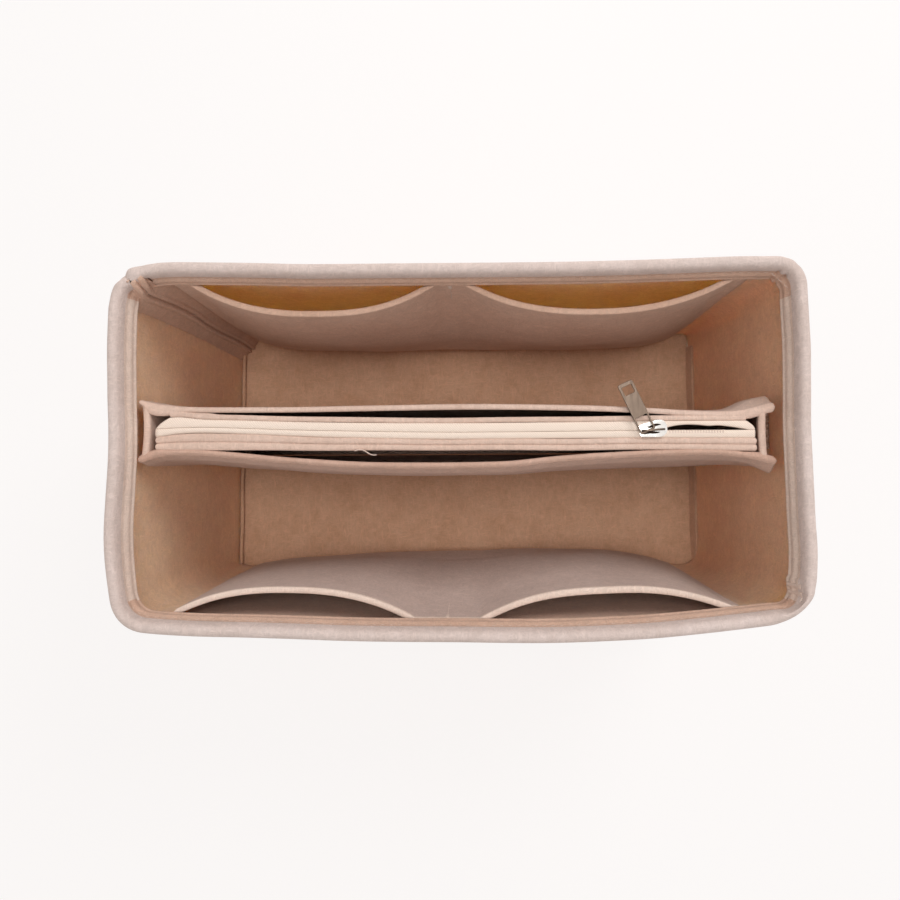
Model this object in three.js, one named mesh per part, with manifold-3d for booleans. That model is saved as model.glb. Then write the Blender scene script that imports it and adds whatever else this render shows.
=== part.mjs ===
// Purse organizer insert: a felt tray with two compartments, four wall pockets and a
// zip pouch that is held across the middle by hook-and-loop patches.
// Millimetres, +Z up. The origin is at the middle of the underside.
// X runs along the tray, +Y is the back wall, -Y the front wall.

import * as THREE from 'three';
import { mergeVertices } from 'three/addons/utils/BufferGeometryUtils.js';
import Module from 'manifold-3d';

const wasm = await Module();
wasm.setup();

// Tray
const RIM_LENGTH = 280;
const RIM_WIDTH = 150;
const FLOOR_LENGTH = 272;
const FLOOR_WIDTH = 142;
const HEIGHT = 150;
const WALL_FELT = 3;
const FLOOR_FELT = 3;
const SHORTER_LENGTH = Math.min(FLOOR_LENGTH, RIM_LENGTH);
const FRONT_BOW = 3.5;
const FRONT_SKEW = 1.4;
const FRONT_LEFT_RADIUS = 14;
const FRONT_RIGHT_RADIUS = 18;
const BACK_CORNER_RADIUS = 11.5;
const SEAM_CORNER_RADIUS = 2.4;
const RIM_ROUND = 3;

// The folded rim swells out past the wall's face over this height
const RIM_SWELL = 1.4;
const SWELL_HEIGHT = 16;

// Sewn pieces lie this far apart
const FIT_GAP = 0.3;

// Seam allowance turned flat beside the back-left corner
const SEAM_RIDGE = 2.2;
const SEAM_RIDGE_WIDTH = 6;
const SEAM_RESERVE = WALL_FELT + SEAM_RIDGE + SEAM_RIDGE_WIDTH;

// Hem band inside the top edge
const HEM_HEIGHT = 12;
const HEM_FELT = 2.2;
const HEM_DROP = 0.6;
const HEM_LOW = HEIGHT - HEM_DROP - HEM_HEIGHT;
const HEM_OVERLAP = 8;
const HEM_INNER_RADIUS = 0.8;
const HEM_SEAM_RADIUS = WALL_FELT + FIT_GAP + HEM_FELT + HEM_INNER_RADIUS;
const TACK_WIDTH = 1.6;
const TACK_THICK = 0.8;

// Lips where the floor turns up along the end walls
const LIP_HEIGHT = 6;
const LIP_FELT = 2;

// Wall pockets: how far in from the tray's ends the panel stands, where the mouths start and
// end along the wall, and how far they gape
const POCKET_FELT = 2.2;
const LOW_BULGE = 9;
const LOW_BULGE_RISE = 17;
const MOUTH_DIP = 5;
const PANEL_END_MARGIN = 0.6;
const POCKET_TACK_WIDTH = 1.4;
const POCKET_TACK_LENGTH = 22;
const WALL_POCKETS = {
  back: {
    side: 1,
    bulge: 11,
    reserves: [SEAM_RESERVE, BACK_CORNER_RADIUS],
    outerMargins: [10.2, 7.9],
    innerEnds: [-9, 3.5],
  },
  front: {
    side: -1,
    bulge: 11.8,
    reserves: [FRONT_LEFT_RADIUS, FRONT_RIGHT_RADIUS],
    outerMargins: [1.4, 5.4],
    innerEnds: [-17.5, 9],
  },
};
for (const wall of Object.values(WALL_POCKETS)) {
  [wall.left, wall.right] = wall.reserves.map((reserve) => (
    SHORTER_LENGTH / 2 - reserve - PANEL_END_MARGIN));
  wall.mouths = [
    [wall.outerMargins[0] - wall.left, wall.innerEnds[0]],
    [wall.innerEnds[1], wall.right - wall.outerMargins[1]],
  ];
}

// Pouch
const ZIP_LINE_Y = 6.9;
const POUCH_DROP = 13;
const POUCH_TOP = HEIGHT - POUCH_DROP;
const POUCH_BOTTOM = 14;
const POUCH_FELT = 2.4;
const EAR_REACH = 1.2;
const EAR_LEAN = 2.2;
const GUSSET_LEAN = 4.5;
const GUSSET_BOWS = { left: 2, right: 0.4 };

// Hook-and-loop patches between the pouch's ends and the tray's ends
const PATCH_WIDTH = 16;
const PATCH_HEIGHT = 50;
const PATCH_DROP = 19;
const PATCH_TOP = POUCH_TOP - PATCH_DROP;
const LOOP_THICK = 2.2;
const HOOK_THICK = 1.2;
const LOOP_INSET = WALL_FELT + FIT_GAP;
const HOOK_INSET = LOOP_INSET + LOOP_THICK + FIT_GAP;
const GUSSET_INSET = HOOK_INSET + HOOK_THICK + FIT_GAP;

// Zip pocket inside the pouch
const ZIP_LEFT_MARGIN = 11;
const ZIP_RIGHT_MARGIN = 12.5;
const ZIP_POCKET_LEFT = ZIP_LEFT_MARGIN - SHORTER_LENGTH / 2;
const ZIP_POCKET_RIGHT = SHORTER_LENGTH / 2 - ZIP_RIGHT_MARGIN;
const ZIP_POCKET_LOW = POUCH_BOTTOM + POUCH_FELT + FIT_GAP;
const ZIP_FELT = 2.1;
const ZIP_TURN_FELT = 3.9;
const ZIP_TURN_HEIGHT = 14;
const ZIP_HALF_OPENING = 3.9;
const ZIP_BELLY = 0.4;

// Outer panels: least way from the zip pocket, how far the edge waves out, belly and foot
const PANEL_CLEARANCE = 0.4;
const POUCH_PANELS = {
  back: {
    side: 1,
    near: ZIP_HALF_OPENING + ZIP_FELT + PANEL_CLEARANCE,
    reach: 4.3,
    belly: 2.5,
    base: 9,
  },
  front: {
    side: -1,
    near: ZIP_HALF_OPENING + ZIP_TURN_FELT + PANEL_CLEARANCE,
    reach: 4.3,
    belly: 4,
    base: 10,
  },
};

// Zipper
const TAPE_THICK = 0.6;
const TAPE_LEG = 8;
const TAPE_SINK = 1.6;
const TAPE_TOP = POUCH_TOP - TAPE_SINK;
const COIL_HEIGHT = 1.4;
const COIL_OUTER_REACH = 2.1;
const COIL_INNER_REACH = 0.65;

// Slider
const SLIDER_FROM_END = 42.7;
const SLIDER_X = ZIP_POCKET_RIGHT - SLIDER_FROM_END;
const SLIDER_LENGTH = 11.5;
const SLIDER_WIDTH = 7;
const SLIDER_UNDER_WIDTH = 5.2;
const PLATE_THICK = 1.1;
const PLATE_TOP = TAPE_TOP + FIT_GAP + COIL_HEIGHT + FIT_GAP + PLATE_THICK;
const FLANGE_THICK = 0.5;
const POST_WIDTH = 0.7;
const POST_LENGTH = 3;
const CROWN_LENGTH = 9.7;
const CROWN_WIDTH = 0.8;
const CROWN_THICK = 0.7;
const CROWN_PLAY = 0.35;

// Pull tab: its bar crosses under the crown, beside the crown's rear leg
const TAB_LENGTH = 22.3;
const TAB_WIDTH = 6.6;
const TAB_THICK = 0.8;
const TAB_SIDE = 0.7;
const TAB_EAR_HOLE = 6.2;
const TAB_WINDOW_LENGTH = 3.6;
const TAB_WINDOW_WIDTH = 4.4;
const TAB_END_BAND = 1.6;
const TAB_CORNER = 0.8;
const TAB_SIDE_SHIFT = 0.47;
const TAB_CROSSING = 1.87;
const TAB_YAW = THREE.MathUtils.degToRad(115);
const CROWN_ROOM = FIT_GAP + TAB_THICK + CROWN_PLAY;

// Shares: places along an edge from -1 to 1, and how far out the edge stands there
const BACK_EDGE_SHARES = [
  [-1, 1.35], [-0.95, 1], [-0.88, 0.68], [-0.8, 0.5], [-0.5, 0.55], [-0.2, 0.97], [0.2, 0.97],
  [0.5, 0.4], [0.76, 0.02], [0.88, 0.04], [1, 0.75],
];
const FRONT_EDGE_SHARES = [
  [-1, 0.55], [-0.9, 0.22], [-0.8, 0.05], [-0.5, 0.65], [-0.25, 0.99], [0.2, 0.99],
  [0.46, 0.55], [0.76, 0.3], [0.9, 0.45], [1, 0.95],
];
const SLIDER_SHARES = [
  [-1, 0.55], [-0.92, 0.7], [-0.25, 0.88], [0.3, 1], [0.65, 0.97], [0.9, 0.7], [1, 0.35],
];
const PANEL_COLUMN_SHARES = [
  1, 0.991, 0.973, 0.95, 0.92, 0.88, 0.84, 0.8, 0.7, 0.6, 0.5, 0.4, 0.3, 0.2, 0.1,
];
const BULGE_FADE_SHARE = 0.35;
const BULGE_ROWS_SHARE = 0.15;
const ZIP_OPENING_SHARE = 0.5;
const TACK_SHARES = { front: 0.6, rear: 0.79 };

// Powers keep a bulge full along a panel and let it die away near its ends
const PANEL_END_POWER = 8;

const MATERIALS = {
  felt: { color: 0xcfae9a, roughness: 0.95, metalness: 0 },
  felt_dark: { color: 0xb8937c, roughness: 0.95, metalness: 0 },
  tape: { color: 0xeed6c4, roughness: 0.85, metalness: 0 },
  coil: { color: 0xe6cbb6, roughness: 0.55, metalness: 0 },
  hook_loop: { color: 0xb79c8a, roughness: 1, metalness: 0 },
  thread: { color: 0xe2c9b8, roughness: 0.8, metalness: 0 },
  nickel: { color: 0xc9c6c2, roughness: 0.25, metalness: 1 },
};

const mix = (a, b, t) => a + (b - a) * t;
const clamp01 = (t) => Math.min(1, Math.max(0, t));
const smooth = (t) => {
  const c = clamp01(t);
  return c * c * (3 - 2 * c);
};

// Numbers from a to b in equal steps, both ends included
function steps(a, b, count) {
  return Array.from({ length: count + 1 }, (_, i) => mix(a, b, i / count));
}

// A smooth curve through hand-chosen [place, value] pairs
function shareCurve(pairs) {
  const points = pairs.map(([place, value]) => new THREE.Vector2(place, value));
  return (place) => {
    let k = 0;
    while (k < points.length - 2 && place > points[k + 1].x) k += 1;
    const [p1, p2] = [points[k], points[k + 1]];
    const p0 = points[Math.max(0, k - 1)];
    const p3 = points[Math.min(points.length - 1, k + 2)];
    const span = p2.x - p1.x;
    const t = clamp01((place - p1.x) / span);
    const m1 = span * (p2.y - p0.y) / (p2.x - p0.x);
    const m2 = span * (p3.y - p1.y) / (p3.x - p1.x);
    const t2 = t * t;
    const t3 = t2 * t;
    return (2 * t3 - 3 * t2 + 1) * p1.y + (t3 - 2 * t2 + t) * m1
      + (3 * t2 - 2 * t3) * p2.y + (t3 - t2) * m2;
  };
}

// A closed felt sheet between two faces, each a grid of points over the same columns and rows
function sheet(columns, rows, outerFace, innerFace) {
  const nc = columns.length;
  const nr = rows.length;
  const position = [];
  for (const face of [outerFace, innerFace]) {
    for (const column of columns) {
      for (const row of rows) position.push(...face(column, row));
    }
  }
  const at = (side, c, r) => side * nc * nr + c * nr + r;
  const index = [];
  const quad = (a, b, c, d) => index.push(a, b, c, a, c, d);
  for (let c = 0; c < nc - 1; c += 1) {
    for (let r = 0; r < nr - 1; r += 1) {
      quad(at(0, c, r), at(0, c + 1, r), at(0, c + 1, r + 1), at(0, c, r + 1));
      quad(at(1, c, r), at(1, c, r + 1), at(1, c + 1, r + 1), at(1, c + 1, r));
    }
    quad(at(0, c, 0), at(1, c, 0), at(1, c + 1, 0), at(0, c + 1, 0));
    quad(at(0, c, nr - 1), at(0, c + 1, nr - 1), at(1, c + 1, nr - 1), at(1, c, nr - 1));
  }
  for (let r = 0; r < nr - 1; r += 1) {
    quad(at(0, 0, r), at(0, 0, r + 1), at(1, 0, r + 1), at(1, 0, r));
    quad(at(0, nc - 1, r), at(1, nc - 1, r), at(1, nc - 1, r + 1), at(0, nc - 1, r + 1));
  }
  const geometry = new THREE.BufferGeometry();
  geometry.setAttribute('position', new THREE.Float32BufferAttribute(position, 3));
  geometry.setIndex(index);
  return facingOut(geometry);
}

// Turns a closed geometry's faces outwards where its signed volume is negative
function facingOut(geometry) {
  const p = geometry.getAttribute('position');
  const index = geometry.getIndex();
  const [a, b, c] = [new THREE.Vector3(), new THREE.Vector3(), new THREE.Vector3()];
  let volume = 0;
  for (let i = 0; i < index.count; i += 3) {
    a.fromBufferAttribute(p, index.getX(i));
    b.fromBufferAttribute(p, index.getX(i + 1));
    c.fromBufferAttribute(p, index.getX(i + 2));
    volume += a.dot(b.cross(c));
  }
  if (volume < 0) {
    for (let i = 0; i < index.count; i += 3) {
      const first = index.getX(i);
      index.setX(i, index.getX(i + 1));
      index.setX(i + 1, first);
    }
  }
  geometry.computeVertexNormals();
  return geometry;
}

// A closed three.js geometry as a solid that can be joined and cut
function toSolid(geometry) {
  const bare = geometry.clone();
  bare.deleteAttribute('normal');
  bare.deleteAttribute('uv');
  const merged = mergeVertices(bare);
  return new wasm.Manifold(new wasm.Mesh({
    numProp: 3,
    vertProperties: new Float32Array(merged.getAttribute('position').array),
    triVerts: new Uint32Array(merged.getIndex().array),
  }));
}

function toGeometry(solid) {
  const mesh = solid.getMesh();
  const geometry = new THREE.BufferGeometry();
  geometry.setAttribute('position', new THREE.BufferAttribute(mesh.vertProperties, 3));
  geometry.setIndex(new THREE.BufferAttribute(mesh.triVerts, 1));
  geometry.computeVertexNormals();
  return geometry;
}

// A box given by its lowest and highest corners
function block(low, high) {
  const size = low.map((value, i) => high[i] - value);
  const geometry = new THREE.BoxGeometry(...size);
  geometry.translate(...low.map((value, i) => (value + high[i]) / 2));
  return geometry;
}

// An outline in plan, drawn up from one height to another
function prism(outline, low, high) {
  const shape = new THREE.Shape(outline);
  const geometry = new THREE.ExtrudeGeometry(shape, { depth: high - low, bevelEnabled: false });
  geometry.translate(0, 0, low);
  return geometry;
}

// Plan of the tray at a height: half length, back line, front line
function plan(z) {
  const up = z / HEIGHT;
  return {
    up,
    half: mix(FLOOR_LENGTH, RIM_LENGTH, up) / 2,
    back: mix(FLOOR_WIDTH, RIM_WIDTH, up) / 2,
    front: -mix(FLOOR_WIDTH / 2, RIM_WIDTH / 2 - FRONT_BOW, up),
  };
}

// Outer face of the front wall at a place X: bowed out, and further out at its left end
function frontLine(p, x) {
  const radius = x < 0 ? FRONT_LEFT_RADIUS : FRONT_RIGHT_RADIUS;
  const place = Math.min(1, Math.max(-1, x / (p.half - radius)));
  return p.front - p.up * (FRONT_BOW * (1 - place * place) - FRONT_SKEW * place);
}

// A place on a straight side of the tray, at a height, a given way in from the outer face
const SIDES = {
  left: (share, z, inset) => {
    const p = plan(z);
    const top = p.back - SEAM_RESERVE;
    const low = frontLine(p, -p.half) + FRONT_LEFT_RADIUS;
    return [-p.half + inset, mix(top, low, share), z];
  },
  front: (share, z, inset) => {
    const p = plan(z);
    const x = mix(-p.half + FRONT_LEFT_RADIUS, p.half - FRONT_RIGHT_RADIUS, share);
    return [x, frontLine(p, x) + inset, z];
  },
  right: (share, z, inset) => {
    const p = plan(z);
    const low = frontLine(p, p.half) + FRONT_RIGHT_RADIUS;
    return [p.half - inset, mix(low, p.back - BACK_CORNER_RADIUS, share), z];
  },
  back: (share, z, inset) => {
    const p = plan(z);
    const x = mix(p.half - BACK_CORNER_RADIUS, -p.half + SEAM_RESERVE, share);
    return [x, p.back - inset, z];
  },
};

// A place on a rounded corner, at a turn from 0 to 1 along the way round
function cornerPlace(sideX, sideY, radius, startTurn, share, z, inset) {
  const p = plan(z);
  const middleX = sideX * (p.half - radius);
  const middleY = sideY > 0 ? p.back - radius : frontLine(p, sideX * p.half) + radius;
  const turn = (startTurn + share) * Math.PI / 2;
  const reach = radius - inset;
  return [middleX + reach * Math.cos(turn), middleY + reach * Math.sin(turn), z];
}
const CORNERS = {
  front_left: (...rest) => cornerPlace(-1, -1, FRONT_LEFT_RADIUS, 2, ...rest),
  front_right: (...rest) => cornerPlace(1, -1, FRONT_RIGHT_RADIUS, 3, ...rest),
  back_right: (...rest) => cornerPlace(1, 1, BACK_CORNER_RADIUS, 0, ...rest),
  back_left: (...rest) => cornerPlace(-1, 1, HEM_SEAM_RADIUS, 1, ...rest),
};

// Columns of a strip: each is a place function with an extra inset of its own
const alongSide = (side, from, to, count) => (
  steps(from, to, count).map((share) => ({ at: SIDES[side], share })));
const roundCorner = (corner, count) => (
  steps(0, 1, count).slice(1, -1).map((share) => ({ at: CORNERS[corner], share })));

// Beside the seam the strip's end is cut on the diagonal of the corner
function seamColumn(startOfStrip, share) {
  const place = (ignored, z, inset, outside) => {
    const p = plan(z);
    const turn = mix(Math.PI / 4, 0, share);
    const round = SEAM_CORNER_RADIUS - inset;
    const along = outside
      ? SEAM_CORNER_RADIUS - round * Math.sin(turn) + share * SEAM_CORNER_RADIUS
      : inset + share * SEAM_CORNER_RADIUS;
    const across = outside ? SEAM_CORNER_RADIUS - round * Math.cos(turn) : inset;
    const shift = FIT_GAP / 2 * (1 - share);
    return startOfStrip
      ? [-p.half + across, p.back - along - shift, z]
      : [-p.half + along + shift, p.back - across, z];
  };
  return { at: place, share, ridge: SEAM_RIDGE };
}

function wallStrip() {
  const ridgeEdge = (startOfStrip) => ({
    at: (ignored, z, inset) => {
      const p = plan(z);
      const along = SEAM_RESERVE - SEAM_RIDGE / 2;
      return startOfStrip
        ? [-p.half + inset, p.back - along, z]
        : [-p.half + along, p.back - inset, z];
    },
    share: 0,
    ridge: SEAM_RIDGE,
  });
  const columns = [
    ...steps(0, 1, 3).map((share) => seamColumn(true, share)), ridgeEdge(true),
    ...alongSide('left', 0, 1, 6), ...roundCorner('front_left', 7),
    ...alongSide('front', 0, 1, 12), ...roundCorner('front_right', 7),
    ...alongSide('right', 0, 1, 6), ...roundCorner('back_right', 6),
    ...alongSide('back', 0, 1, 8), ridgeEdge(false),
    ...steps(1, 0, 3).map((share) => seamColumn(false, share)),
  ];
  const ridgeLow = FLOOR_FELT + FIT_GAP;
  const ridgeHigh = HEM_LOW - 2 * FIT_GAP;
  const swellLow = HEIGHT - SWELL_HEIGHT;
  const swellHigh = HEIGHT - RIM_ROUND;
  const rows = [
    { z: 0, round: 0 }, { z: ridgeLow, round: 0 }, { z: ridgeLow + FIT_GAP, round: 0, ridge: 1 },
    ...steps(ridgeLow, swellLow, 4).slice(1).map((z) => ({ z, round: 0, ridge: 1 })),
    { z: ridgeHigh - FIT_GAP, round: 0, ridge: 1 }, { z: ridgeHigh, round: 0 },
    ...steps(ridgeHigh, swellHigh, 2).slice(1, -1).map((z) => ({ z, round: 0 })),
    ...steps(0, 1, 4).map((share) => ({
      z: HEIGHT - RIM_ROUND * (1 - Math.sin(share * Math.PI / 2)),
      round: RIM_ROUND * (1 - Math.cos(share * Math.PI / 2)),
    })),
  ];
  const swell = (z) => RIM_SWELL * smooth((z - swellLow) / (swellHigh - swellLow));
  const outer = (column, row) => (
    column.at(column.share, row.z, row.round - swell(row.z), true));
  const inner = (column, row) => {
    const ridge = row.ridge && column.ridge ? column.ridge : 0;
    return column.at(column.share, row.z, WALL_FELT + ridge);
  };
  return sheet(columns, rows, outer, inner);
}

// The hem runs once round and laps over its own start on the right wall
function hemFacing() {
  const sideLength = RIM_WIDTH - FRONT_BOW - FRONT_SKEW - FRONT_RIGHT_RADIUS - BACK_CORNER_RADIUS;
  const lapShare = HEM_OVERLAP / sideLength;
  const lapLift = HEM_FELT + FIT_GAP;
  const flat = [
    ...alongSide('right', 0, 1, 6), ...roundCorner('back_right', 5),
    ...alongSide('back', 0, 1, 6), ...roundCorner('back_left', 4),
    ...alongSide('left', 0, 1, 6), ...roundCorner('front_left', 6),
    ...alongSide('front', 0, 1, 12),
  ];
  const climb = roundCorner('front_right', 6).map((column) => (
    { ...column, lift: lapLift * smooth(2 * column.share) }));
  const lap = alongSide('right', 0, lapShare, 2).map((column) => ({ ...column, lift: lapLift }));
  const rows = [
    { z: HEM_LOW, round: 0 }, { z: HEIGHT - HEM_DROP - HEM_FELT, round: 0 },
    { z: HEIGHT - HEM_DROP - HEM_FELT / 3, round: HEM_FELT / 4 },
    { z: HEIGHT - HEM_DROP, round: HEM_FELT / 2 },
  ];
  const outer = (column, row) => (
    column.at(column.share, row.z, WALL_FELT + FIT_GAP + (column.lift ?? 0)));
  const inner = (column, row) => column.at(
    column.share, row.z, WALL_FELT + FIT_GAP + HEM_FELT - row.round + (column.lift ?? 0));
  return sheet([...flat, ...climb, ...lap], rows, outer, inner);
}

// Two bars of close stitches that hold the lapped ends of the hem, in the front-right corner
function hemTack(middle) {
  const depth = WALL_FELT + FIT_GAP + 2 * (HEM_FELT + FIT_GAP);
  const quarterTurn = FRONT_RIGHT_RADIUS * Math.PI / 2;
  const halfShare = TACK_WIDTH / 2 / quarterTurn;
  const columns = [middle - halfShare, middle + halfShare];
  const rows = [HEM_LOW + HEM_FELT / 2, HEIGHT - HEM_DROP - HEM_FELT];
  return sheet(columns, rows,
    (share, z) => CORNERS.front_right(share, z, depth),
    (share, z) => CORNERS.front_right(share, z, depth + TACK_THICK));
}

function floorPanel() {
  const inset = WALL_FELT + FIT_GAP;
  const flat = (column) => new THREE.Vector2(...column.at(column.share, 0, inset));
  const outline = [
    ...alongSide('left', 0, 1, 1), ...roundCorner('front_left', 5),
    ...alongSide('front', 0, 1, 1), ...roundCorner('front_right', 5),
    ...alongSide('right', 0, 1, 1), ...roundCorner('back_right', 5),
    ...alongSide('back', 0, 1, 1), ...roundCorner('back_left', 3),
  ].map(flat);
  let solid = toSolid(prism(outline, 0, FLOOR_FELT));
  const lipEnd = FLOOR_WIDTH / 2 - inset - POCKET_FELT - LOW_BULGE - FIT_GAP;
  for (const side of [-1, 1]) {
    const outside = side * (plan(0).half - inset);
    const inside = outside - side * LIP_FELT;
    const low = [Math.min(outside, inside), -lipEnd, FLOOR_FELT / 2];
    const high = [Math.max(outside, inside), lipEnd, FLOOR_FELT + LIP_HEIGHT];
    solid = solid.add(toSolid(block(low, high)));
  }
  return toGeometry(solid);
}

// How far a pocket's mouth gapes at a place along the wall, as a share of its full bulge
function mouthArch(wall, x) {
  for (const [from, to] of wall.mouths) {
    const q = (2 * x - from - to) / (to - from);
    if (Math.abs(q) < 1) return 1 - q * q;
  }
  return 0;
}

// A place on a pocket panel's face, a given way in from its back, at a height share
function pocketPlace(wall, x, up, depth) {
  const low = FLOOR_FELT + FIT_GAP;
  const high = HEM_LOW - FIT_GAP - MOUTH_DIP * mouthArch(wall, x);
  const z = mix(low, high, up);
  const p = plan(z);
  const wallFace = wall.side > 0 ? p.back - WALL_FELT : frontLine(p, x) + WALL_FELT;
  const ends = 1 - Math.abs(x / (x < 0 ? wall.left : wall.right)) ** PANEL_END_POWER;
  const rise = smooth((z - low) / LOW_BULGE_RISE);
  const fade = 1 - smooth((up - BULGE_FADE_SHARE) / (1 - BULGE_FADE_SHARE));
  const standOff = LOW_BULGE * ends * rise * fade + wall.bulge * mouthArch(wall, x) * smooth(up);
  return [x, wallFace - wall.side * (FIT_GAP + standOff + depth), z];
}

function pocketPanel(wall) {
  const marks = [-wall.left, ...wall.mouths.flat(), wall.right];
  const columns = marks.slice(1).flatMap((to, k) => (
    steps(marks[k], to, k % 2 === 1 ? 10 : 2).slice(0, -1)));
  const rows = [...steps(0, BULGE_ROWS_SHARE, 4), ...steps(BULGE_ROWS_SHARE, 1, 8).slice(1)];
  return sheet([...columns, wall.right], rows,
    (x, up) => pocketPlace(wall, x, up, 0),
    (x, up) => pocketPlace(wall, x, up, POCKET_FELT));
}

// The line of stitches between the two mouths
function pocketTack(wall) {
  const middle = (wall.mouths[0][1] + wall.mouths[1][0]) / 2;
  const columns = [middle - POCKET_TACK_WIDTH / 2, middle + POCKET_TACK_WIDTH / 2];
  const rows = steps(1 - POCKET_TACK_LENGTH / HEM_LOW, 1, 4);
  const near = POCKET_FELT + FIT_GAP;
  return sheet(columns, rows,
    (x, up) => pocketPlace(wall, x, up, near),
    (x, up) => pocketPlace(wall, x, up, near + TACK_THICK));
}

// A patch of hook or loop tape on an end of the tray, a given way in from the outer face
function patch(side, inset, thick) {
  const columns = [ZIP_LINE_Y - PATCH_WIDTH / 2, ZIP_LINE_Y + PATCH_WIDTH / 2];
  const rows = [PATCH_TOP - PATCH_HEIGHT, PATCH_TOP];
  return sheet(columns, rows,
    (y, z) => [side * (plan(z).half - inset), y, z],
    (y, z) => [side * (plan(z).half - inset - thick), y, z]);
}

// How far the pouch's right end leans in above the patch, from 0 to 1
const leanShare = (z) => smooth((z - PATCH_TOP) / (POUCH_TOP - PATCH_TOP));

// Ends of the outer panels and of the gussets at a height
function pouchEnd(side, z, beyondGusset) {
  const lean = side > 0 ? mix(GUSSET_LEAN, EAR_LEAN, beyondGusset / EAR_REACH) * leanShare(z) : 0;
  return side * (plan(z).half - GUSSET_INSET + beyondGusset - lean);
}

const panelEdge = {
  back: shareCurve(BACK_EDGE_SHARES),
  front: shareCurve(FRONT_EDGE_SHARES),
};

// How far an outer panel's inner face stands from the zip line
function panelReach(wall, place, z) {
  const up = (z - POUCH_BOTTOM) / (POUCH_TOP - POUCH_BOTTOM);
  const pouch = POUCH_PANELS[wall];
  const edge = pouch.near + pouch.reach * panelEdge[wall](place);
  const belly = pouch.belly * Math.sin(Math.PI * clamp01(up)) * (1 - place ** PANEL_END_POWER);
  return mix(pouch.base, edge, smooth(up)) + belly;
}

// The share along the outer panels of a place X at a height
function alongShare(x, z) {
  const left = pouchEnd(-1, z, EAR_REACH);
  const right = pouchEnd(1, z, EAR_REACH);
  return 2 * (x - left) / (right - left) - 1;
}

// Heights at which the outer panels and the gussets have their points
const pouchRows = () => (
  [...steps(POUCH_BOTTOM, PATCH_TOP, 7), ...steps(PATCH_TOP, POUCH_TOP, 4).slice(1)]);

function pouchPanel(wall) {
  const pouch = POUCH_PANELS[wall];
  const right = [...PANEL_COLUMN_SHARES].reverse();
  const columns = [...PANEL_COLUMN_SHARES.map((share) => -share), 0, ...right];
  const face = (depth) => (place, z) => {
    const x = mix(pouchEnd(-1, z, EAR_REACH), pouchEnd(1, z, EAR_REACH), (place + 1) / 2);
    return [x, ZIP_LINE_Y + pouch.side * (panelReach(wall, place, z) + depth), z];
  };
  return sheet(columns, pouchRows(), face(0), face(POUCH_FELT));
}

function pouchGusset(side, fullBow) {
  const columns = steps(0, 1, 6);
  const face = (depth) => (share, z) => {
    const bow = fullBow * Math.sin(Math.PI * share) * leanShare(z);
    const x = pouchEnd(side, z, 0) - side * depth;
    const place = alongShare(x, z);
    const front = ZIP_LINE_Y - panelReach('front', place, z) + FIT_GAP;
    const back = ZIP_LINE_Y + panelReach('back', place, z) - FIT_GAP;
    return [x - side * bow, mix(front, back, share), z];
  };
  return sheet(columns, pouchRows(), face(0), face(POUCH_FELT));
}

function pouchBase() {
  const end = plan(POUCH_BOTTOM).half - GUSSET_INSET - POUCH_FELT - FIT_GAP;
  const low = [-end, ZIP_LINE_Y - POUCH_PANELS.front.base + FIT_GAP, POUCH_BOTTOM];
  const high = [end, ZIP_LINE_Y + POUCH_PANELS.back.base - FIT_GAP, POUCH_BOTTOM + POUCH_FELT];
  return block(low, high);
}

// Half width of the zip pocket's inside at a height: a narrow V that opens upwards
function zipHalfWidth(z) {
  const up = clamp01((z - ZIP_POCKET_LOW) / (POUCH_TOP - ZIP_POCKET_LOW));
  const opening = Math.sin(Math.PI / 2 * clamp01(up / ZIP_OPENING_SHARE));
  return mix(FIT_GAP / 2, ZIP_HALF_OPENING, opening) + ZIP_BELLY * Math.sin(Math.PI * up);
}

function zipPocketPanel(side) {
  const turn = side < 0 ? ZIP_TURN_FELT : ZIP_FELT;
  const columns = [ZIP_POCKET_LEFT, ZIP_POCKET_RIGHT];
  const rows = [
    ...steps(ZIP_POCKET_LOW, POUCH_TOP - ZIP_TURN_HEIGHT - ZIP_FELT, 8).map((z) => [z, ZIP_FELT]),
    [POUCH_TOP - ZIP_TURN_HEIGHT, turn], [POUCH_TOP, turn],
  ];
  return sheet(columns, rows,
    (x, [z]) => [x, ZIP_LINE_Y + side * zipHalfWidth(z), z],
    (x, [z, thick]) => [x, ZIP_LINE_Y + side * (zipHalfWidth(z) + thick), z]);
}

function zipPocketEnd(side) {
  const outside = side < 0 ? ZIP_POCKET_LEFT : ZIP_POCKET_RIGHT;
  const rows = steps(ZIP_POCKET_LOW + ZIP_TURN_HEIGHT / 2, POUCH_TOP - FIT_GAP, 8);
  const face = (depth) => (share, z) => (
    [outside - side * depth, ZIP_LINE_Y + share * (zipHalfWidth(z) - FIT_GAP), z]);
  return sheet([-1, 1], rows, face(0), face(ZIP_FELT));
}

// An outline across the zip, given as [way from the zip line, height], drawn along X
function alongZip(side, outline) {
  const from = ZIP_POCKET_LEFT + ZIP_FELT + FIT_GAP;
  const to = ZIP_POCKET_RIGHT - ZIP_FELT - FIT_GAP;
  return sheetAlong(outline.map(([reach, z]) => [ZIP_LINE_Y + side * reach, z]), from, to);
}

function sheetAlong(outline, from, to) {
  const geometry = prism(outline.map(([y, z]) => new THREE.Vector2(y, z)), from, to);
  const turned = new THREE.Matrix4().makeBasis(
    new THREE.Vector3(0, 1, 0), new THREE.Vector3(0, 0, 1), new THREE.Vector3(1, 0, 0));
  return geometry.applyMatrix4(turned);
}

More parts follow.
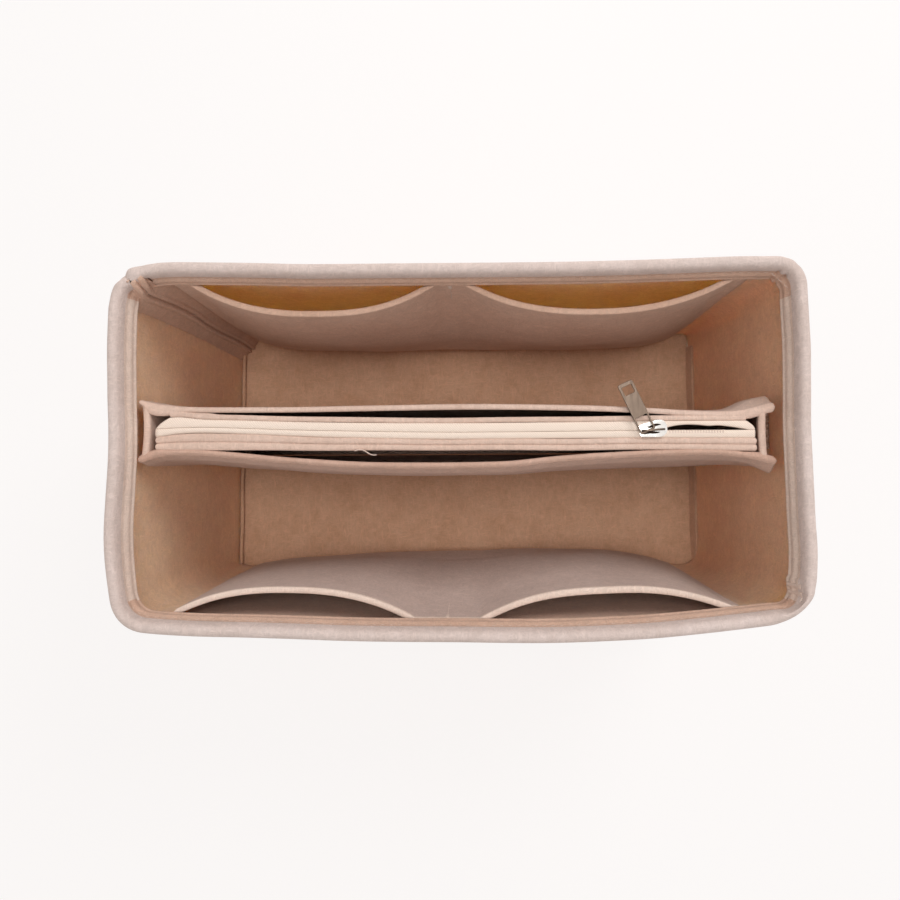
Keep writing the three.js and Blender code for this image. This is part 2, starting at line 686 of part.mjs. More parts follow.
// Zipper tape: a flat edge under the coil, bent down against the felt
function zipperTape(side) {
  const outside = ZIP_HALF_OPENING - FIT_GAP;
  return alongZip(side, [
    [COIL_INNER_REACH, TAPE_TOP - TAPE_THICK], [outside - TAPE_THICK, TAPE_TOP - TAPE_THICK],
    [outside - TAPE_THICK, TAPE_TOP - TAPE_LEG], [outside, TAPE_TOP - TAPE_LEG],
    [outside, TAPE_TOP], [COIL_INNER_REACH, TAPE_TOP],
  ]);
}

// Half of the coil that closes the zip, with rounded edges
function zipperCoil(side) {
  const low = TAPE_TOP + FIT_GAP;
  const high = low + COIL_HEIGHT;
  const round = COIL_HEIGHT / 3;
  return alongZip(side, [
    [COIL_INNER_REACH, low], [COIL_OUTER_REACH - round, low], [COIL_OUTER_REACH, low + round],
    [COIL_OUTER_REACH, high - round], [COIL_OUTER_REACH - round, high],
    [COIL_INNER_REACH + round, high], [COIL_INNER_REACH, high - round],
  ]);
}

// The slider's plan: narrow tail, wide shoulders, rounded nose
function sliderPlate(width, low, high) {
  const upper = SLIDER_SHARES.map(([along, out]) => (
    new THREE.Vector2(along * SLIDER_LENGTH / 2, out * width / 2)));
  const lower = upper.map((point) => new THREE.Vector2(point.x, -point.y)).reverse();
  return toSolid(prism([...upper, ...lower], low, high));
}

// The crown is a strap that stands on the top plate on two legs
function sliderCrown() {
  const top = PLATE_TOP + CROWN_ROOM + CROWN_THICK;
  const outside = CROWN_LENGTH / 2;
  const inside = outside - CROWN_THICK;
  const foot = PLATE_TOP - PLATE_THICK / 2;
  const outline = [
    [-outside, foot], [-inside, foot], [-inside, top - CROWN_THICK], [inside, top - CROWN_THICK],
    [inside, foot], [outside, foot], [outside, top - CROWN_THICK], [inside, top],
    [-inside, top], [-outside, top - CROWN_THICK],
  ].map(([x, z]) => new THREE.Vector2(x, z));
  const upright = new THREE.Matrix4().makeBasis(
    new THREE.Vector3(1, 0, 0), new THREE.Vector3(0, 0, 1), new THREE.Vector3(0, -1, 0));
  return toSolid(prism(outline, -CROWN_WIDTH / 2, CROWN_WIDTH / 2).applyMatrix4(upright));
}

function zipperSlider() {
  const bite = FLANGE_THICK / 2;
  const postFrom = SLIDER_LENGTH / 2 - SLIDER_WIDTH / 2 - POST_LENGTH / 2;
  const flangeInside = COIL_OUTER_REACH + FIT_GAP;
  const underside = PLATE_TOP - PLATE_THICK;
  const underTop = TAPE_TOP - TAPE_THICK - FIT_GAP;
  let solid = sliderPlate(SLIDER_WIDTH, underside, PLATE_TOP);
  solid = solid.add(sliderPlate(SLIDER_UNDER_WIDTH, underTop - PLATE_THICK, underTop));
  solid = solid.add(toSolid(block(
    [postFrom, -POST_WIDTH / 2, underTop - bite],
    [postFrom + POST_LENGTH, POST_WIDTH / 2, underside + bite])));
  for (const side of [-1, 1]) {
    const near = side * flangeInside;
    const far = side * (flangeInside + FLANGE_THICK);
    solid = solid.add(toSolid(block(
      [-SLIDER_LENGTH / 8, Math.min(near, far), TAPE_TOP + FIT_GAP],
      [SLIDER_LENGTH / 3, Math.max(near, far), underside + bite])));
  }
  return toGeometry(solid.add(sliderCrown()));
}

// The tab's bar lies under the crown, and the crown's rear leg stands in its near hole
function pullTab() {
  const bar = TAB_THICK;
  const half = TAB_WIDTH / 2;
  const far = TAB_LENGTH - bar / 2;
  const outline = [
    [-half + TAB_CORNER, -bar / 2], [half - TAB_CORNER, -bar / 2], [half, -bar / 2 + TAB_CORNER],
    [half, far - TAB_CORNER], [half - TAB_CORNER, far], [-half + TAB_CORNER, far],
    [-half, far - TAB_CORNER], [-half, -bar / 2 + TAB_CORNER],
  ].map(([x, y]) => new THREE.Vector2(x, y));
  const windowFar = far - TAB_END_BAND;
  const low = -TAB_THICK;
  const high = TAB_THICK;
  let solid = toSolid(prism(outline, -TAB_THICK / 2, TAB_THICK / 2));
  solid = solid.subtract(toSolid(block(
    [-half + TAB_SIDE, bar / 2, low], [half - TAB_SIDE, bar / 2 + TAB_EAR_HOLE, high])));
  solid = solid.subtract(toSolid(block(
    [-TAB_WINDOW_WIDTH / 2, windowFar - TAB_WINDOW_LENGTH, low],
    [TAB_WINDOW_WIDTH / 2, windowFar, high])));
  return toGeometry(solid);
}

function piece(name, geometry, materialName) {
  const mesh = new THREE.Mesh(geometry, new THREE.MeshStandardMaterial(MATERIALS[materialName]));
  mesh.name = name;
  return mesh;
}

function tray() {
  const group = new THREE.Group();
  group.add(
    piece('floor_panel', floorPanel(), 'felt_dark'),
    piece('wall_strip', wallStrip(), 'felt'),
    piece('hem_facing', hemFacing(), 'felt'),
    piece('hem_tack_front', hemTack(TACK_SHARES.front), 'thread'),
    piece('hem_tack_rear', hemTack(TACK_SHARES.rear), 'thread'),
  );
  for (const [name, wall] of Object.entries(WALL_POCKETS)) {
    group.add(piece(`${name}_pocket_panel`, pocketPanel(wall), 'felt'));
    group.add(piece(`${name}_pocket_tack`, pocketTack(wall), 'thread'));
  }
  group.add(
    piece('left_loop_patch', patch(-1, LOOP_INSET, LOOP_THICK), 'hook_loop'),
    piece('right_loop_patch', patch(1, LOOP_INSET, LOOP_THICK), 'hook_loop'),
  );
  return group;
}

function sliderWithTab() {
  const group = new THREE.Group();
  group.position.set(SLIDER_X, ZIP_LINE_Y, 0);
  const tab = piece('pull_tab', pullTab(), 'nickel');
  const across = TAB_YAW - Math.PI / 2;
  tab.rotation.z = across;
  tab.position.set(
    -TAB_CROSSING - TAB_SIDE_SHIFT * Math.cos(across),
    -TAB_SIDE_SHIFT * Math.sin(across),
    PLATE_TOP + FIT_GAP + TAB_THICK / 2,
  );
  group.add(piece('zipper_slider', zipperSlider(), 'nickel'), tab);
  return group;
}

function pouch() {
  const group = new THREE.Group();
  const ends = { left: -1, right: 1 };
  const faces = { front: -1, back: 1 };
  for (const [name, side] of Object.entries(faces)) {
    group.add(
      piece(`pouch_${name}_panel`, pouchPanel(name), 'felt'),
      piece(`zip_pocket_${name}`, zipPocketPanel(side), 'felt'),
      piece(`zipper_tape_${name}`, zipperTape(side), 'tape'),
      piece(`zipper_coil_${name}`, zipperCoil(side), 'coil'),
    );
  }
  for (const [name, side] of Object.entries(ends)) {
    group.add(
      piece(`pouch_${name}_gusset`, pouchGusset(side, GUSSET_BOWS[name]), 'felt'),
      piece(`zip_pocket_${name}_end`, zipPocketEnd(side), 'felt'),
      piece(`${name}_hook_patch`, patch(side, HOOK_INSET, HOOK_THICK), 'hook_loop'),
    );
  }
  group.add(piece('pouch_base', pouchBase(), 'felt'));
  group.add(sliderWithTab());
  return group;
}

const organizer = new THREE.Group();
organizer.name = 'purse_organizer_insert';
organizer.add(tray(), pouch());

export default organizer;
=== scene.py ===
"""Looks of a felt purse organizer insert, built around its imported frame.

Lengths are in millimetres until a mesh is made.
"""

import math

import bmesh
import bpy
import numpy as np
from mathutils import Matrix, Vector


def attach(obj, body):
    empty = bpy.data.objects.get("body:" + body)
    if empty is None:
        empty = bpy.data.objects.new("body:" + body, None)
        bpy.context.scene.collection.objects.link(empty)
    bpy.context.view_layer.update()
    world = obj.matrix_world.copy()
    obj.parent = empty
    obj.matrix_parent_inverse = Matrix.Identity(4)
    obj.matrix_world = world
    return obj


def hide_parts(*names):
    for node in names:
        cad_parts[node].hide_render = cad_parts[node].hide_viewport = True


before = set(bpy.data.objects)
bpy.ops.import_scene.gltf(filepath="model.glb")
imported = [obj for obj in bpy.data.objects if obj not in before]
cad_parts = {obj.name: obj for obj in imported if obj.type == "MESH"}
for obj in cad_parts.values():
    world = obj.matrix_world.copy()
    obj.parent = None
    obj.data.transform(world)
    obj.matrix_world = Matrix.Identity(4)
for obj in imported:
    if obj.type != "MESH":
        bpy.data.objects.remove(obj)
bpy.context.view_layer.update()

MM = 0.001

# Sizes of the tray
HEIGHT = 150.0
FOOT_HALF_LENGTH = 136.0
RIM_HALF_LENGTH = 140.0
FOOT_HALF_WIDTH = 71.0
RIM_BACK = 75.0
RIM_FRONT = 71.5
WALL = 3.0
HEM_LOW = 137.4
HEM_LINE = 143.7
SWELL = 1.4
FRONT_LEFT_RADIUS = 14.0
FRONT_RIGHT_RADIUS = 18.0
BACK_RADIUS = 11.5
FOOT_SQUARE = 0.42
SEAM_RESERVE = 11.2
SEAM_BEND = 9.0
FRONT_BOW = 3.5
FRONT_SKEW = 1.4
FLOOR_FELT = 3.0
POCKET_FELT = 2.2

# Sizes of the pouch, its zip and the slider
ZIP_Y = 6.9
POUCH_TOP = 137.0
POUCH_BOTTOM = 14.0
POUCH_FELT = 2.4
PANEL_BEYOND = 1.2
PATCH_TOP = 118.0
PATCH_HEIGHT = 50.0
PATCH_WIDTH = 16.0
ZIP_LEFT = -125.0
ZIP_RIGHT = 123.5
ZIP_LOW = 16.7
ZIP_FELT = 2.1
SLIDER_X = 80.8
SLIDER_LENGTH = 11.5
PLATE_TOP = 138.5


# Curves and waves
def mix(a, b, t):
    """The value a share t of the way from a to b."""
    return a + (b - a) * t


def smooth(t):
    """From 0 at 0 to 1 at 1, flat at both ends and beyond."""
    c = np.clip(t, 0, 1)
    return c * c * (3 - 2 * c)


def bump(t, middle, width):
    """A rounded bump of height 1 around a place."""
    return np.exp(-(((t - middle) / width) ** 2))


def share_curve(pairs):
    """A smooth curve through pairs of place and value."""
    px = np.array([p[0] for p in pairs], float)
    py = np.array([p[1] for p in pairs], float)
    low = np.maximum(np.arange(len(px)) - 1, 0)
    high = np.minimum(np.arange(len(px)) + 1, len(px) - 1)
    slope = (py[high] - py[low]) / (px[high] - px[low])

    def curve(place):
        place = np.asarray(place, float)
        k = np.clip(np.searchsorted(px, place, side="right") - 1, 0, len(px) - 2)
        span = px[k + 1] - px[k]
        t = np.clip((place - px[k]) / span, 0, 1)
        m1, m2 = span * slope[k], span * slope[k + 1]
        t2, t3 = t * t, t * t * t
        return (
            (2 * t3 - 3 * t2 + 1) * py[k]
            + (t3 - 2 * t2 + t) * m1
            + (3 * t2 - 2 * t3) * py[k + 1]
            + (t3 - t2) * m2
        )

    return curve


def waves(seed, size, count=5):
    """A smooth wandering value of place, about 1 high, made of a few sines."""
    own = np.random.default_rng(seed)
    rates = own.uniform(0.6, 1.6, count) * 2 * np.pi / size
    turns = own.uniform(0, 2 * np.pi, count)
    weights = own.uniform(0.4, 1, count)
    weights = weights / weights.sum()

    def at(place):
        place = np.asarray(place, float)
        return sum(
            w * np.sin(r * place + t) for w, r, t in zip(weights, rates, turns)
        )

    return at


# Meshes
def add_mesh(name, points, faces, body, slot, material, replaces=(), flat=False):
    """A mesh object from points in millimetres, facing out, riding on a body."""
    mesh = bpy.data.meshes.new(name)
    mesh.from_pydata((np.asarray(points, float) * MM).tolist(), [], faces)
    work = bmesh.new()
    work.from_mesh(mesh)
    bmesh.ops.recalc_face_normals(work, faces=work.faces)
    work.to_mesh(mesh)
    work.free()
    if not flat:
        mesh.shade_smooth()
    piece = bpy.data.objects.new(name, mesh)
    bpy.context.scene.collection.objects.link(piece)
    mesh.materials.append(material)
    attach(piece, body)
    if replaces:
        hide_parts(*replaces)
    return piece


def join_parts(parts):
    """Several (points, faces) shells as one."""
    points, faces, start = [], [], 0
    for own_points, own_faces in parts:
        points.append(np.asarray(own_points, float))
        faces += [tuple(start + i for i in face) for face in own_faces]
        start += len(own_points)
    return np.concatenate(points), faces


def loft(rings, closed=False):
    """Faces over rings of points. Ring point j faces ring point -1 - j, so the ends close with a strip."""
    rings = np.asarray(rings, float)
    count, size, _ = rings.shape
    faces = []
    for i in range(count - (0 if closed else 1)):
        a, b = i * size, (i + 1) % count * size
        for j in range(size):
            k = (j + 1) % size
            faces.append((a + j, a + k, b + k, b + j))
    if not closed:
        for start in (0, (count - 1) * size):
            for j in range(size // 2 - 1):
                faces.append(
                    (start + j, start + j + 1, start + size - 2 - j, start + size - 1 - j)
                )
    return rings.reshape(-1, 3), faces


def section(outer, inner, low_tip, high_tip):
    """A closed section from two faces of the same length, with rounded tips of the given reach."""
    outer, inner = np.asarray(outer, float), np.asarray(inner, float)

    def tip(a, b, before, reach):
        way = (a + b) / 2 - before
        way = way / max(np.linalg.norm(way[:2]), 1e-9)
        return [
            mix(a, b, (1 - math.cos(math.pi * t)) / 2) + way * reach * math.sin(math.pi * t)
            for t in (0.2, 0.4, 0.6, 0.8)
        ]

    high = tip(outer[-1], inner[-1], (outer[-2] + inner[-2]) / 2, high_tip)
    low = tip(inner[0], outer[0], (outer[1] + inner[1]) / 2, low_tip)
    return np.array([*low[2:], *outer, *high, *inner[::-1], *low[:2]])


def felt_sheet(us, vs, thick, face, ends=1.0, tips=None):
    """A closed sheet with rounded edges. face(u, v, depth) gives its points; v and depth are arrays."""
    tips = thick / 2 if tips is None else tips
    span = abs(vs[-1] - vs[0])
    mid = face(us[len(us) // 2], np.array([vs[0], vs[-1]]), np.array([0.0, 0.0]))
    per_mm = span / max(np.linalg.norm(mid[1] - mid[0]), 1e-6)
    step = tips * per_mm * (1 if vs[-1] > vs[0] else -1)
    rows = np.array([vs[0] + step, *vs[1:-1], vs[-1] - step])
    outer = np.stack([rows, np.zeros(len(rows))], 1)
    inner = np.stack([rows, np.full(len(rows), float(thick))], 1)
    arc = []
    for t in (0.2, 0.4, 0.6, 0.8):
        arc.append(((1 - math.cos(math.pi * t)) / 2 * thick, math.sin(math.pi * t) * step))
    high = [(vs[-1] - step + reach, depth) for depth, reach in arc]
    low = [(vs[0] + step - reach, thick - depth) for depth, reach in arc]
    ring = np.array([*low[2:], *outer.tolist(), *high, *inner[::-1].tolist(), *low[:2]])
    ring_mid = np.array([thick / 2])
    way = np.linalg.norm(
        face(us[1], np.array([rows[0]]), ring_mid) - face(us[0], np.array([rows[0]]), ring_mid)
    ) / max(abs(us[1] - us[0]), 1e-9)
    end = ends * thick / 2 / max(way, 1e-6)
    turn = 1 if us[-1] > us[0] else -1
    rounding = [(0, 0.06), (0.07, 0.42), (0.25, 0.75), (1, 1.0)]
    columns = [(us[0] + turn * end * way, share) for way, share in rounding]
    columns += [(u, 1.0) for u in us[1:-1] if min(abs(u - us[0]), abs(us[-1] - u)) > end * 1.05]
    columns += [(us[-1] - turn * end * way, share) for way, share in reversed(rounding)]
    rings = []
    for u, share in columns:
        depth = thick / 2 + (ring[:, 1] - thick / 2) * share
        rings.append(face(u, ring[:, 0], depth))
    return loft(rings)


def tube(path, radius, sides=8):
    """A closed round thread along a path of points."""
    path = np.asarray(path, float)
    along = np.gradient(path, axis=0)
    along /= np.linalg.norm(along, axis=1)[:, None]
    side = np.cross(along, np.array([0.13, 0.21, 0.97]))
    side /= np.linalg.norm(side, axis=1)[:, None]
    up = np.cross(along, side)
    radius = np.broadcast_to(radius, len(path))
    rings = []
    for p, s, u, r in zip(path, side, up, radius):
        turn = np.arange(sides) * 2 * np.pi / sides
        rings.append(p + r * (np.cos(turn)[:, None] * s + np.sin(turn)[:, None] * u))
    return loft(rings)


def stitches(path, length=2.3, gap=0.7, thick=0.34, lift=None, sink=0.12):
    """Short thread stitches along a line of points on a surface; lift is the way out of it."""
    path = np.asarray(path, float)
    steps = np.linalg.norm(np.diff(path, axis=0), axis=1)
    run = np.concatenate([[0], np.cumsum(steps)])
    count = int(run[-1] // (length + gap))
    lift = np.array([0, 0, 1.0]) if lift is None else np.asarray(lift, float)
    parts = []
    for i in range(count):
        places = (i + 0.5) * (length + gap) + np.linspace(-0.5, 0.5, 5) * length
        points = np.stack([np.interp(places, run, path[:, k]) for k in range(3)], 1)
        arch = np.array([-0.9, 0.2, 0.55, 0.2, -0.9]) * thick - sink
        if lift.ndim == 2:
            out = np.stack([np.interp(places, run, lift[:, k]) for k in range(3)], 1)
        else:
            out = lift
        parts.append(tube(points + arch[:, None] * out, np.array([0.6, 1, 1, 1, 0.6]) * thick / 2, 6))
    return join_parts(parts)


def satin(start, end, across, lift, width, pitch=0.42, thick=0.36):
    """A bar of close stitches from start to end, each thread lying across it."""
    start, end, across, lift = (np.asarray(v, float) for v in (start, end, across, lift))
    count = max(2, int(np.linalg.norm(end - start) / pitch))
    parts = []
    for i in range(count):
        middle = mix(start, end, (i + 0.5) / count)
        slant = (end - start) / count * 0.4
        places = np.array([-0.5, -0.42, -0.2, 0.2, 0.42, 0.5])
        arch = np.array([-0.6, 0.1, 0.45, 0.45, 0.1, -0.6]) * thick
        points = middle + places[:, None] * (across * width + slant) + arch[:, None] * lift
        parts.append(tube(points, thick / 2, 6))
    return join_parts(parts)


# Materials
def colour(r, g, b):
    """A colour as seen on screen, 0 to 255, for a shader."""
    def linear(c):
        c = c / 255
        return c / 12.92 if c <= 0.04045 else ((c + 0.055) / 1.055) ** 2.4
    return (linear(r), linear(g), linear(b), 1)


class Nodes:
    """A few short words for building the nodes of a material or a world."""

    def __init__(self, owner, output):
        owner.use_nodes = True
        self.owner = owner
        self.tree = owner.node_tree
        self.tree.nodes.clear()
        self.output = self.add(output)

    def put(self, socket, value):
        """Sets an input, or links it where the value is another node's output."""
        if isinstance(value, bpy.types.NodeSocket):
            self.tree.links.new(value, socket)
        else:
            socket.default_value = value

    def add(self, kind, inputs=(), **settings):
        node = self.tree.nodes.new("ShaderNode" + kind)
        for key, value in settings.items():
            setattr(node, key, value)
        for key, value in dict(inputs).items():
            self.put(node.inputs[key], value)
        return node

    def sum(self, kind, a, b):
        return self.add("Math", {0: a, 1: b}, operation=kind).outputs[0]

    def show(self, share, a, b):
        """Sends a mixture of two shaders to the output."""
        mixer = self.add("MixShader", {0: share, 1: a, 2: b})
        self.put(self.output.inputs["Surface"], mixer.outputs[0])


class Surface(Nodes):
    """The nodes of a material, around one main shader."""

    def __init__(self, name):
        super().__init__(bpy.data.materials.new(name), "OutputMaterial")
        self.shader = self.add("BsdfPrincipled")
        self.put(self.output.inputs["Surface"], self.shader.outputs[0])
        self.place = self.add("TexCoord").outputs["Object"]

    def stretched(self, scale, turn=(0, 0, 0)):
        return self.add("Mapping", dict(Scale=scale, Rotation=turn, Vector=self.place)).outputs[0]

    def noise(self, scale, detail=4.0, rough=0.6, place=None, distort=0.0):
        place = place or self.place
        values = dict(Scale=scale, Detail=detail, Roughness=rough, Distortion=distort, Vector=place)
        return self.add("TexNoise", values).outputs["Fac"]

    def ramp(self, value, *stops):
        node = self.add("ValToRGB", dict(Fac=value))
        while len(node.color_ramp.elements) < len(stops):
            node.color_ramp.elements.new(0.5)
        for element, (place, tone) in zip(node.color_ramp.elements, stops):
            element.position = place
            element.color = tone if len(tone) == 4 else (*tone, 1)
        return node.outputs["Color"]

    def blend(self, kind, share, a, b):
        node = self.add("Mix", {0: share, 6: a, 7: b}, data_type="RGBA", blend_type=kind)
        return node.outputs[2]

    def bumps(self, height, distance, strength=1.0, under=None):
        values = dict(Distance=distance, Strength=strength, Height=height)
        if under is not None:
            values["Normal"] = under
        return self.add("Bump", values).outputs["Normal"]

    def finish(self, base, normal=None, **values):
        self.put(self.shader.inputs["Base Color"], base)
        if normal is not None:
            self.put(self.shader.inputs["Normal"], normal)
        for key, value in values.items():
            self.put(self.shader.inputs[key.replace("_", " ")], value)
        return self.owner


def felt(name, dark, mid, light, strength=1.0, through=0.0, depth=6):
    """Needle-punched felt: crossing fibres, small pills, faint mottling. Light may glow through it."""
    n = Surface(name)
    broad = n.noise(38, 3, 0.55)
    cloudy = n.noise(170, 4, 0.6, distort=0.6)
    tone = n.sum("ADD", n.sum("MULTIPLY", broad, 0.5), n.sum("MULTIPLY", cloudy, 0.5))
    base = n.ramp(tone, (0.3, colour(*dark)), (0.5, colour(*mid)), (0.7, colour(*light)))
    fibre_a = n.noise(620, 3, 0.7, n.stretched((1, 0.28, 0.6), (0.3, 0.2, 0.5)), 1.4)
    fibre_b = n.noise(700, 3, 0.7, n.stretched((0.3, 1, 0.5), (0.1, 0.5, -0.7)), 1.4)
    fibres = n.sum("MAXIMUM", fibre_a, fibre_b)
    fleck = n.ramp(fibres, (0.45, (0.86, 0.85, 0.84)), (0.72, (1.06, 1.05, 1.04)))
    base = n.blend("MULTIPLY", 1.0, base, fleck)
    normal = n.bumps(n.noise(95, 3, 0.5), 0.0012 * strength, 0.5)
    normal = n.bumps(fibres, 0.0005 * strength, 0.9, normal)
    return n.finish(
        base, normal, Roughness=0.95, Specular_IOR_Level=0.18, Sheen_Weight=0.25,
        Sheen_Roughness=0.6, Sheen_Tint=(1.0, 0.9, 0.84, 1),
        Subsurface_Weight=through, Subsurface_Radius=(1.0, 0.8, 0.5), Subsurface_Scale=depth * MM,
    )


def woven_tape(name, base_tone, shade):
    """Zipper tape: fine twill ribs that run along it."""
    n = Surface(name)
    values = dict(Scale=620, Distortion=0.6, Detail=1, Vector=n.place)
    rib = n.add("TexWave", values, wave_type="BANDS", bands_direction="DIAGONAL")
    thread = n.noise(1500, 2, 0.5)
    weave = n.sum("ADD", n.sum("MULTIPLY", rib.outputs["Fac"], 0.6), n.sum("MULTIPLY", thread, 0.4))
    base = n.ramp(weave, (0.25, shade), (0.6, base_tone))
    return n.finish(base, n.bumps(weave, 0.00025, 0.7), Roughness=0.8, Specular_IOR_Level=0.3,
                    Sheen_Weight=0.15)


def thread_stuff(name, tone):
    """Twisted sewing thread."""
    n = Surface(name)
    twist = n.noise(2600, 2, 0.6, n.stretched((1, 1, 0.4), (0.4, 0.2, 0.6)))
    base = n.blend("MULTIPLY", 0.5, tone, n.ramp(twist, (0.3, (0.7, 0.68, 0.66)), (0.7, (1, 1, 1))))
    return n.finish(base, n.bumps(twist, 0.0001, 0.6), Roughness=0.6, Sheen_Weight=0.2)


def hook_and_loop(name, dark, light):
    """Hook-and-loop tape: a dense field of tiny loops."""
    n = Surface(name)
    cell = n.add("TexVoronoi", dict(Scale=900, Vector=n.place)).outputs["Distance"]
    base = n.ramp(cell, (0.1, light), (0.6, dark))
    return n.finish(base, n.bumps(cell, 0.0008, 1.0), Roughness=0.9)


def nickel(name, tone, rough):
    """Nickel plate with fine scratches and slight dulling."""
    n = Surface(name)
    scratch = n.noise(900, 4, 0.7, n.stretched((1, 0.06, 1), (0, 0, 0.44)))
    cloud = n.noise(260, 3, 0.6)
    base = n.blend("MULTIPLY", 1.0, tone, n.ramp(cloud, (0.3, (0.88, 0.88, 0.88)), (0.7, (1, 1, 1))))
    roughness = n.ramp(scratch, (0.3, (rough * 0.7,) * 3), (0.75, (rough * 1.5,) * 3))
    return n.finish(base, n.bumps(scratch, 0.00004, 0.4), Roughness=roughness, Metallic=1.0)


# All the felts below are one felt. FELT is its own colour; the others are copies of it made lighter, darker
# or warmer for how light falls on each place: painted light and painted shade.
FELT = felt("felt", (218, 187, 170), (226, 197, 181), (232, 205, 190))
# Painted shade: a darker, more orange copy of the felt for the front and back hems, the wall behind the front
# pockets, the back pockets and the seam allowance.
FELT_TRAY_PAINTED_SHADE = felt("felt_tray_inside", (214, 175, 152), (222, 185, 163), (229, 193, 172))
# Painted shade: a more orange copy of the felt for the inner walls. Light also really passes through it.
FELT_WALL_PAINTED_SHADE = felt("felt_wall_inside", (218, 184, 149), (226, 194, 159), (232, 202, 168), 1.0, 1.0)
# Painted glow: a warmer, redder copy of the felt for the back wall behind its pockets. Light also really
# shines through it there, by its deep subsurface.
FELT_PAINTED_GLOW = felt("felt_back_wall_inside", (229, 180, 149), (237, 190, 159), (243, 198, 168), 1.0, 1.0, 13)
# Painted light: a lighter copy of the felt for the side hems and the front pockets' lips.
FELT_PAINTED_LIGHT = felt("felt_side_hem", (230, 206, 192), (236, 214, 200), (240, 220, 207), 0.7)
# Painted shade: a darker copy of the felt for the pouch's front panel.
FELT_PAINTED_SHADE = felt("felt_pouch_front", (200, 163, 144), (208, 172, 154), (215, 180, 163))
# Painted light: a paler, greyer copy of the felt for the front pockets' panel.
FELT_PALE_PAINTED_LIGHT = felt("felt_front_pocket", (203, 178, 168), (211, 187, 177), (217, 194, 185))
# Painted shade: a darker, more orange copy of the felt for the floor.
FELT_FLOOR_PAINTED_SHADE = felt("felt_floor", (210, 165, 133), (221, 177, 146), (228, 186, 155), 1.3)
# Painted light: a lighter, greyer copy of the felt for the rim.
FELT_RIM_PAINTED_LIGHT = felt("felt_rim", (212, 193, 185), (220, 202, 195), (226, 209, 203), 0.7)
TAPE = woven_tape("zipper_tape", colour(246, 228, 213), colour(238, 217, 201))
THREAD = thread_stuff("thread", colour(226, 202, 188))
HOOKS = hook_and_loop("hook_and_loop", colour(150, 118, 98), colour(204, 172, 152))
NICKEL = nickel("nickel", colour(236, 233, 228), 0.2)
# Painted shade: a near-black nickel for the dark tubes in the hollows beside the slider's crown.
NICKEL_PAINTED_SHADE = nickel("nickel_in_shade", colour(50, 40, 34), 0.5)
NICKEL_TAB = nickel("nickel_tab", colour(98, 85, 75), 0.36)
BACKDROP = colour(255, 252, 251)


# Tray
def plan(z):
    """At a height: its share of the whole, half the length, and the places of the back and front."""
    up = np.asarray(z, float) / HEIGHT
    half = mix(FOOT_HALF_LENGTH, RIM_HALF_LENGTH, up)
    return up, half, mix(FOOT_HALF_WIDTH, RIM_BACK, up), -mix(FOOT_HALF_WIDTH, RIM_FRONT, up)


def front_line(z, x):
    """The front wall's outer face: bowed out, and further out at its left end."""
    up, half, _, front = plan(z)
    radius = np.where(np.asarray(x) < 0, FRONT_LEFT_RADIUS, FRONT_RIGHT_RADIUS)
    place = np.clip(x / (half - radius), -1, 1)
    return front - up * (FRONT_BOW * (1 - place * place) - FRONT_SKEW * place)


def stack(x, y, z):
    """Points from x, y and z, of which some may be single numbers."""
    x, y, z = np.broadcast_arrays(x, y, z)
    return np.stack([x, y, z], -1)


def straight(side, share):
    """A column on one of the four straight sides, by its share of the way along it."""
    def at(z, inset):
        _, half, back, _ = plan(z)
        if side == "left":
            y = mix(back - SEAM_RESERVE, front_line(z, -half) + FRONT_LEFT_RADIUS, share)
            return stack(-half + inset, y, z)
        if side == "front":
            x = mix(-half + FRONT_LEFT_RADIUS, half - FRONT_RIGHT_RADIUS, share)
            return stack(x, front_line(z, x) + inset, z)
        if side == "right":
            y = mix(front_line(z, half) + FRONT_RIGHT_RADIUS, back - BACK_RADIUS, share)
            return stack(half - inset, y, z)
        x = mix(half - BACK_RADIUS, -half + SEAM_RESERVE, share)
        return stack(x, back - inset, z)
    return at


def corner(side_x, side_y, radius, start, share):
    """A column round a plain corner, from a start in quarter turns. It gets squarer near the floor."""
    def at(z, inset):
        _, half, back, _ = plan(z)
        middle_x = side_x * (half - radius)
        middle_y = back - radius if side_y > 0 else front_line(z, side_x * half) + radius
        turn = (start + share) * math.pi / 2
        reach = radius - inset
        squarer = mix(FOOT_SQUARE, 1, smooth((np.asarray(z, float) - 6) / 60))
        cos, sin = (np.sign(c) * abs(c) ** squarer for c in (math.cos(turn), math.sin(turn)))
        return stack(middle_x + reach * cos, middle_y + reach * sin, z)
    return at


def lap_corner(share):
    """The front-right corner: the wall rounds it widely, the hem inside stays straight for longer."""
    wide = corner(1, -1, FRONT_RIGHT_RADIUS, 3, share)
    tight_radius = 11.5
    straight_share = 0.2
    turn = (3 + np.clip((share - straight_share) / (1 - 2 * straight_share), 0, 1)) * math.pi / 2
    before = max(0, straight_share - share)
    after = max(0, share - (1 - straight_share))
    offset = (FRONT_RIGHT_RADIUS - tight_radius) * np.array([-before, after]) / straight_share

    def at(z, inset):
        _, half, _, _ = plan(z)
        reach = tight_radius - inset
        x = half - tight_radius + offset[0] + reach * math.cos(turn)
        y = front_line(z, half) + tight_radius + offset[1] + reach * math.sin(turn)
        share_tight = smooth((inset - 0.5) / 4)[..., None] * smooth((z - 120) / 17)[..., None]
        return mix(wide(z, inset), stack(x, y, z), share_tight)
    return at


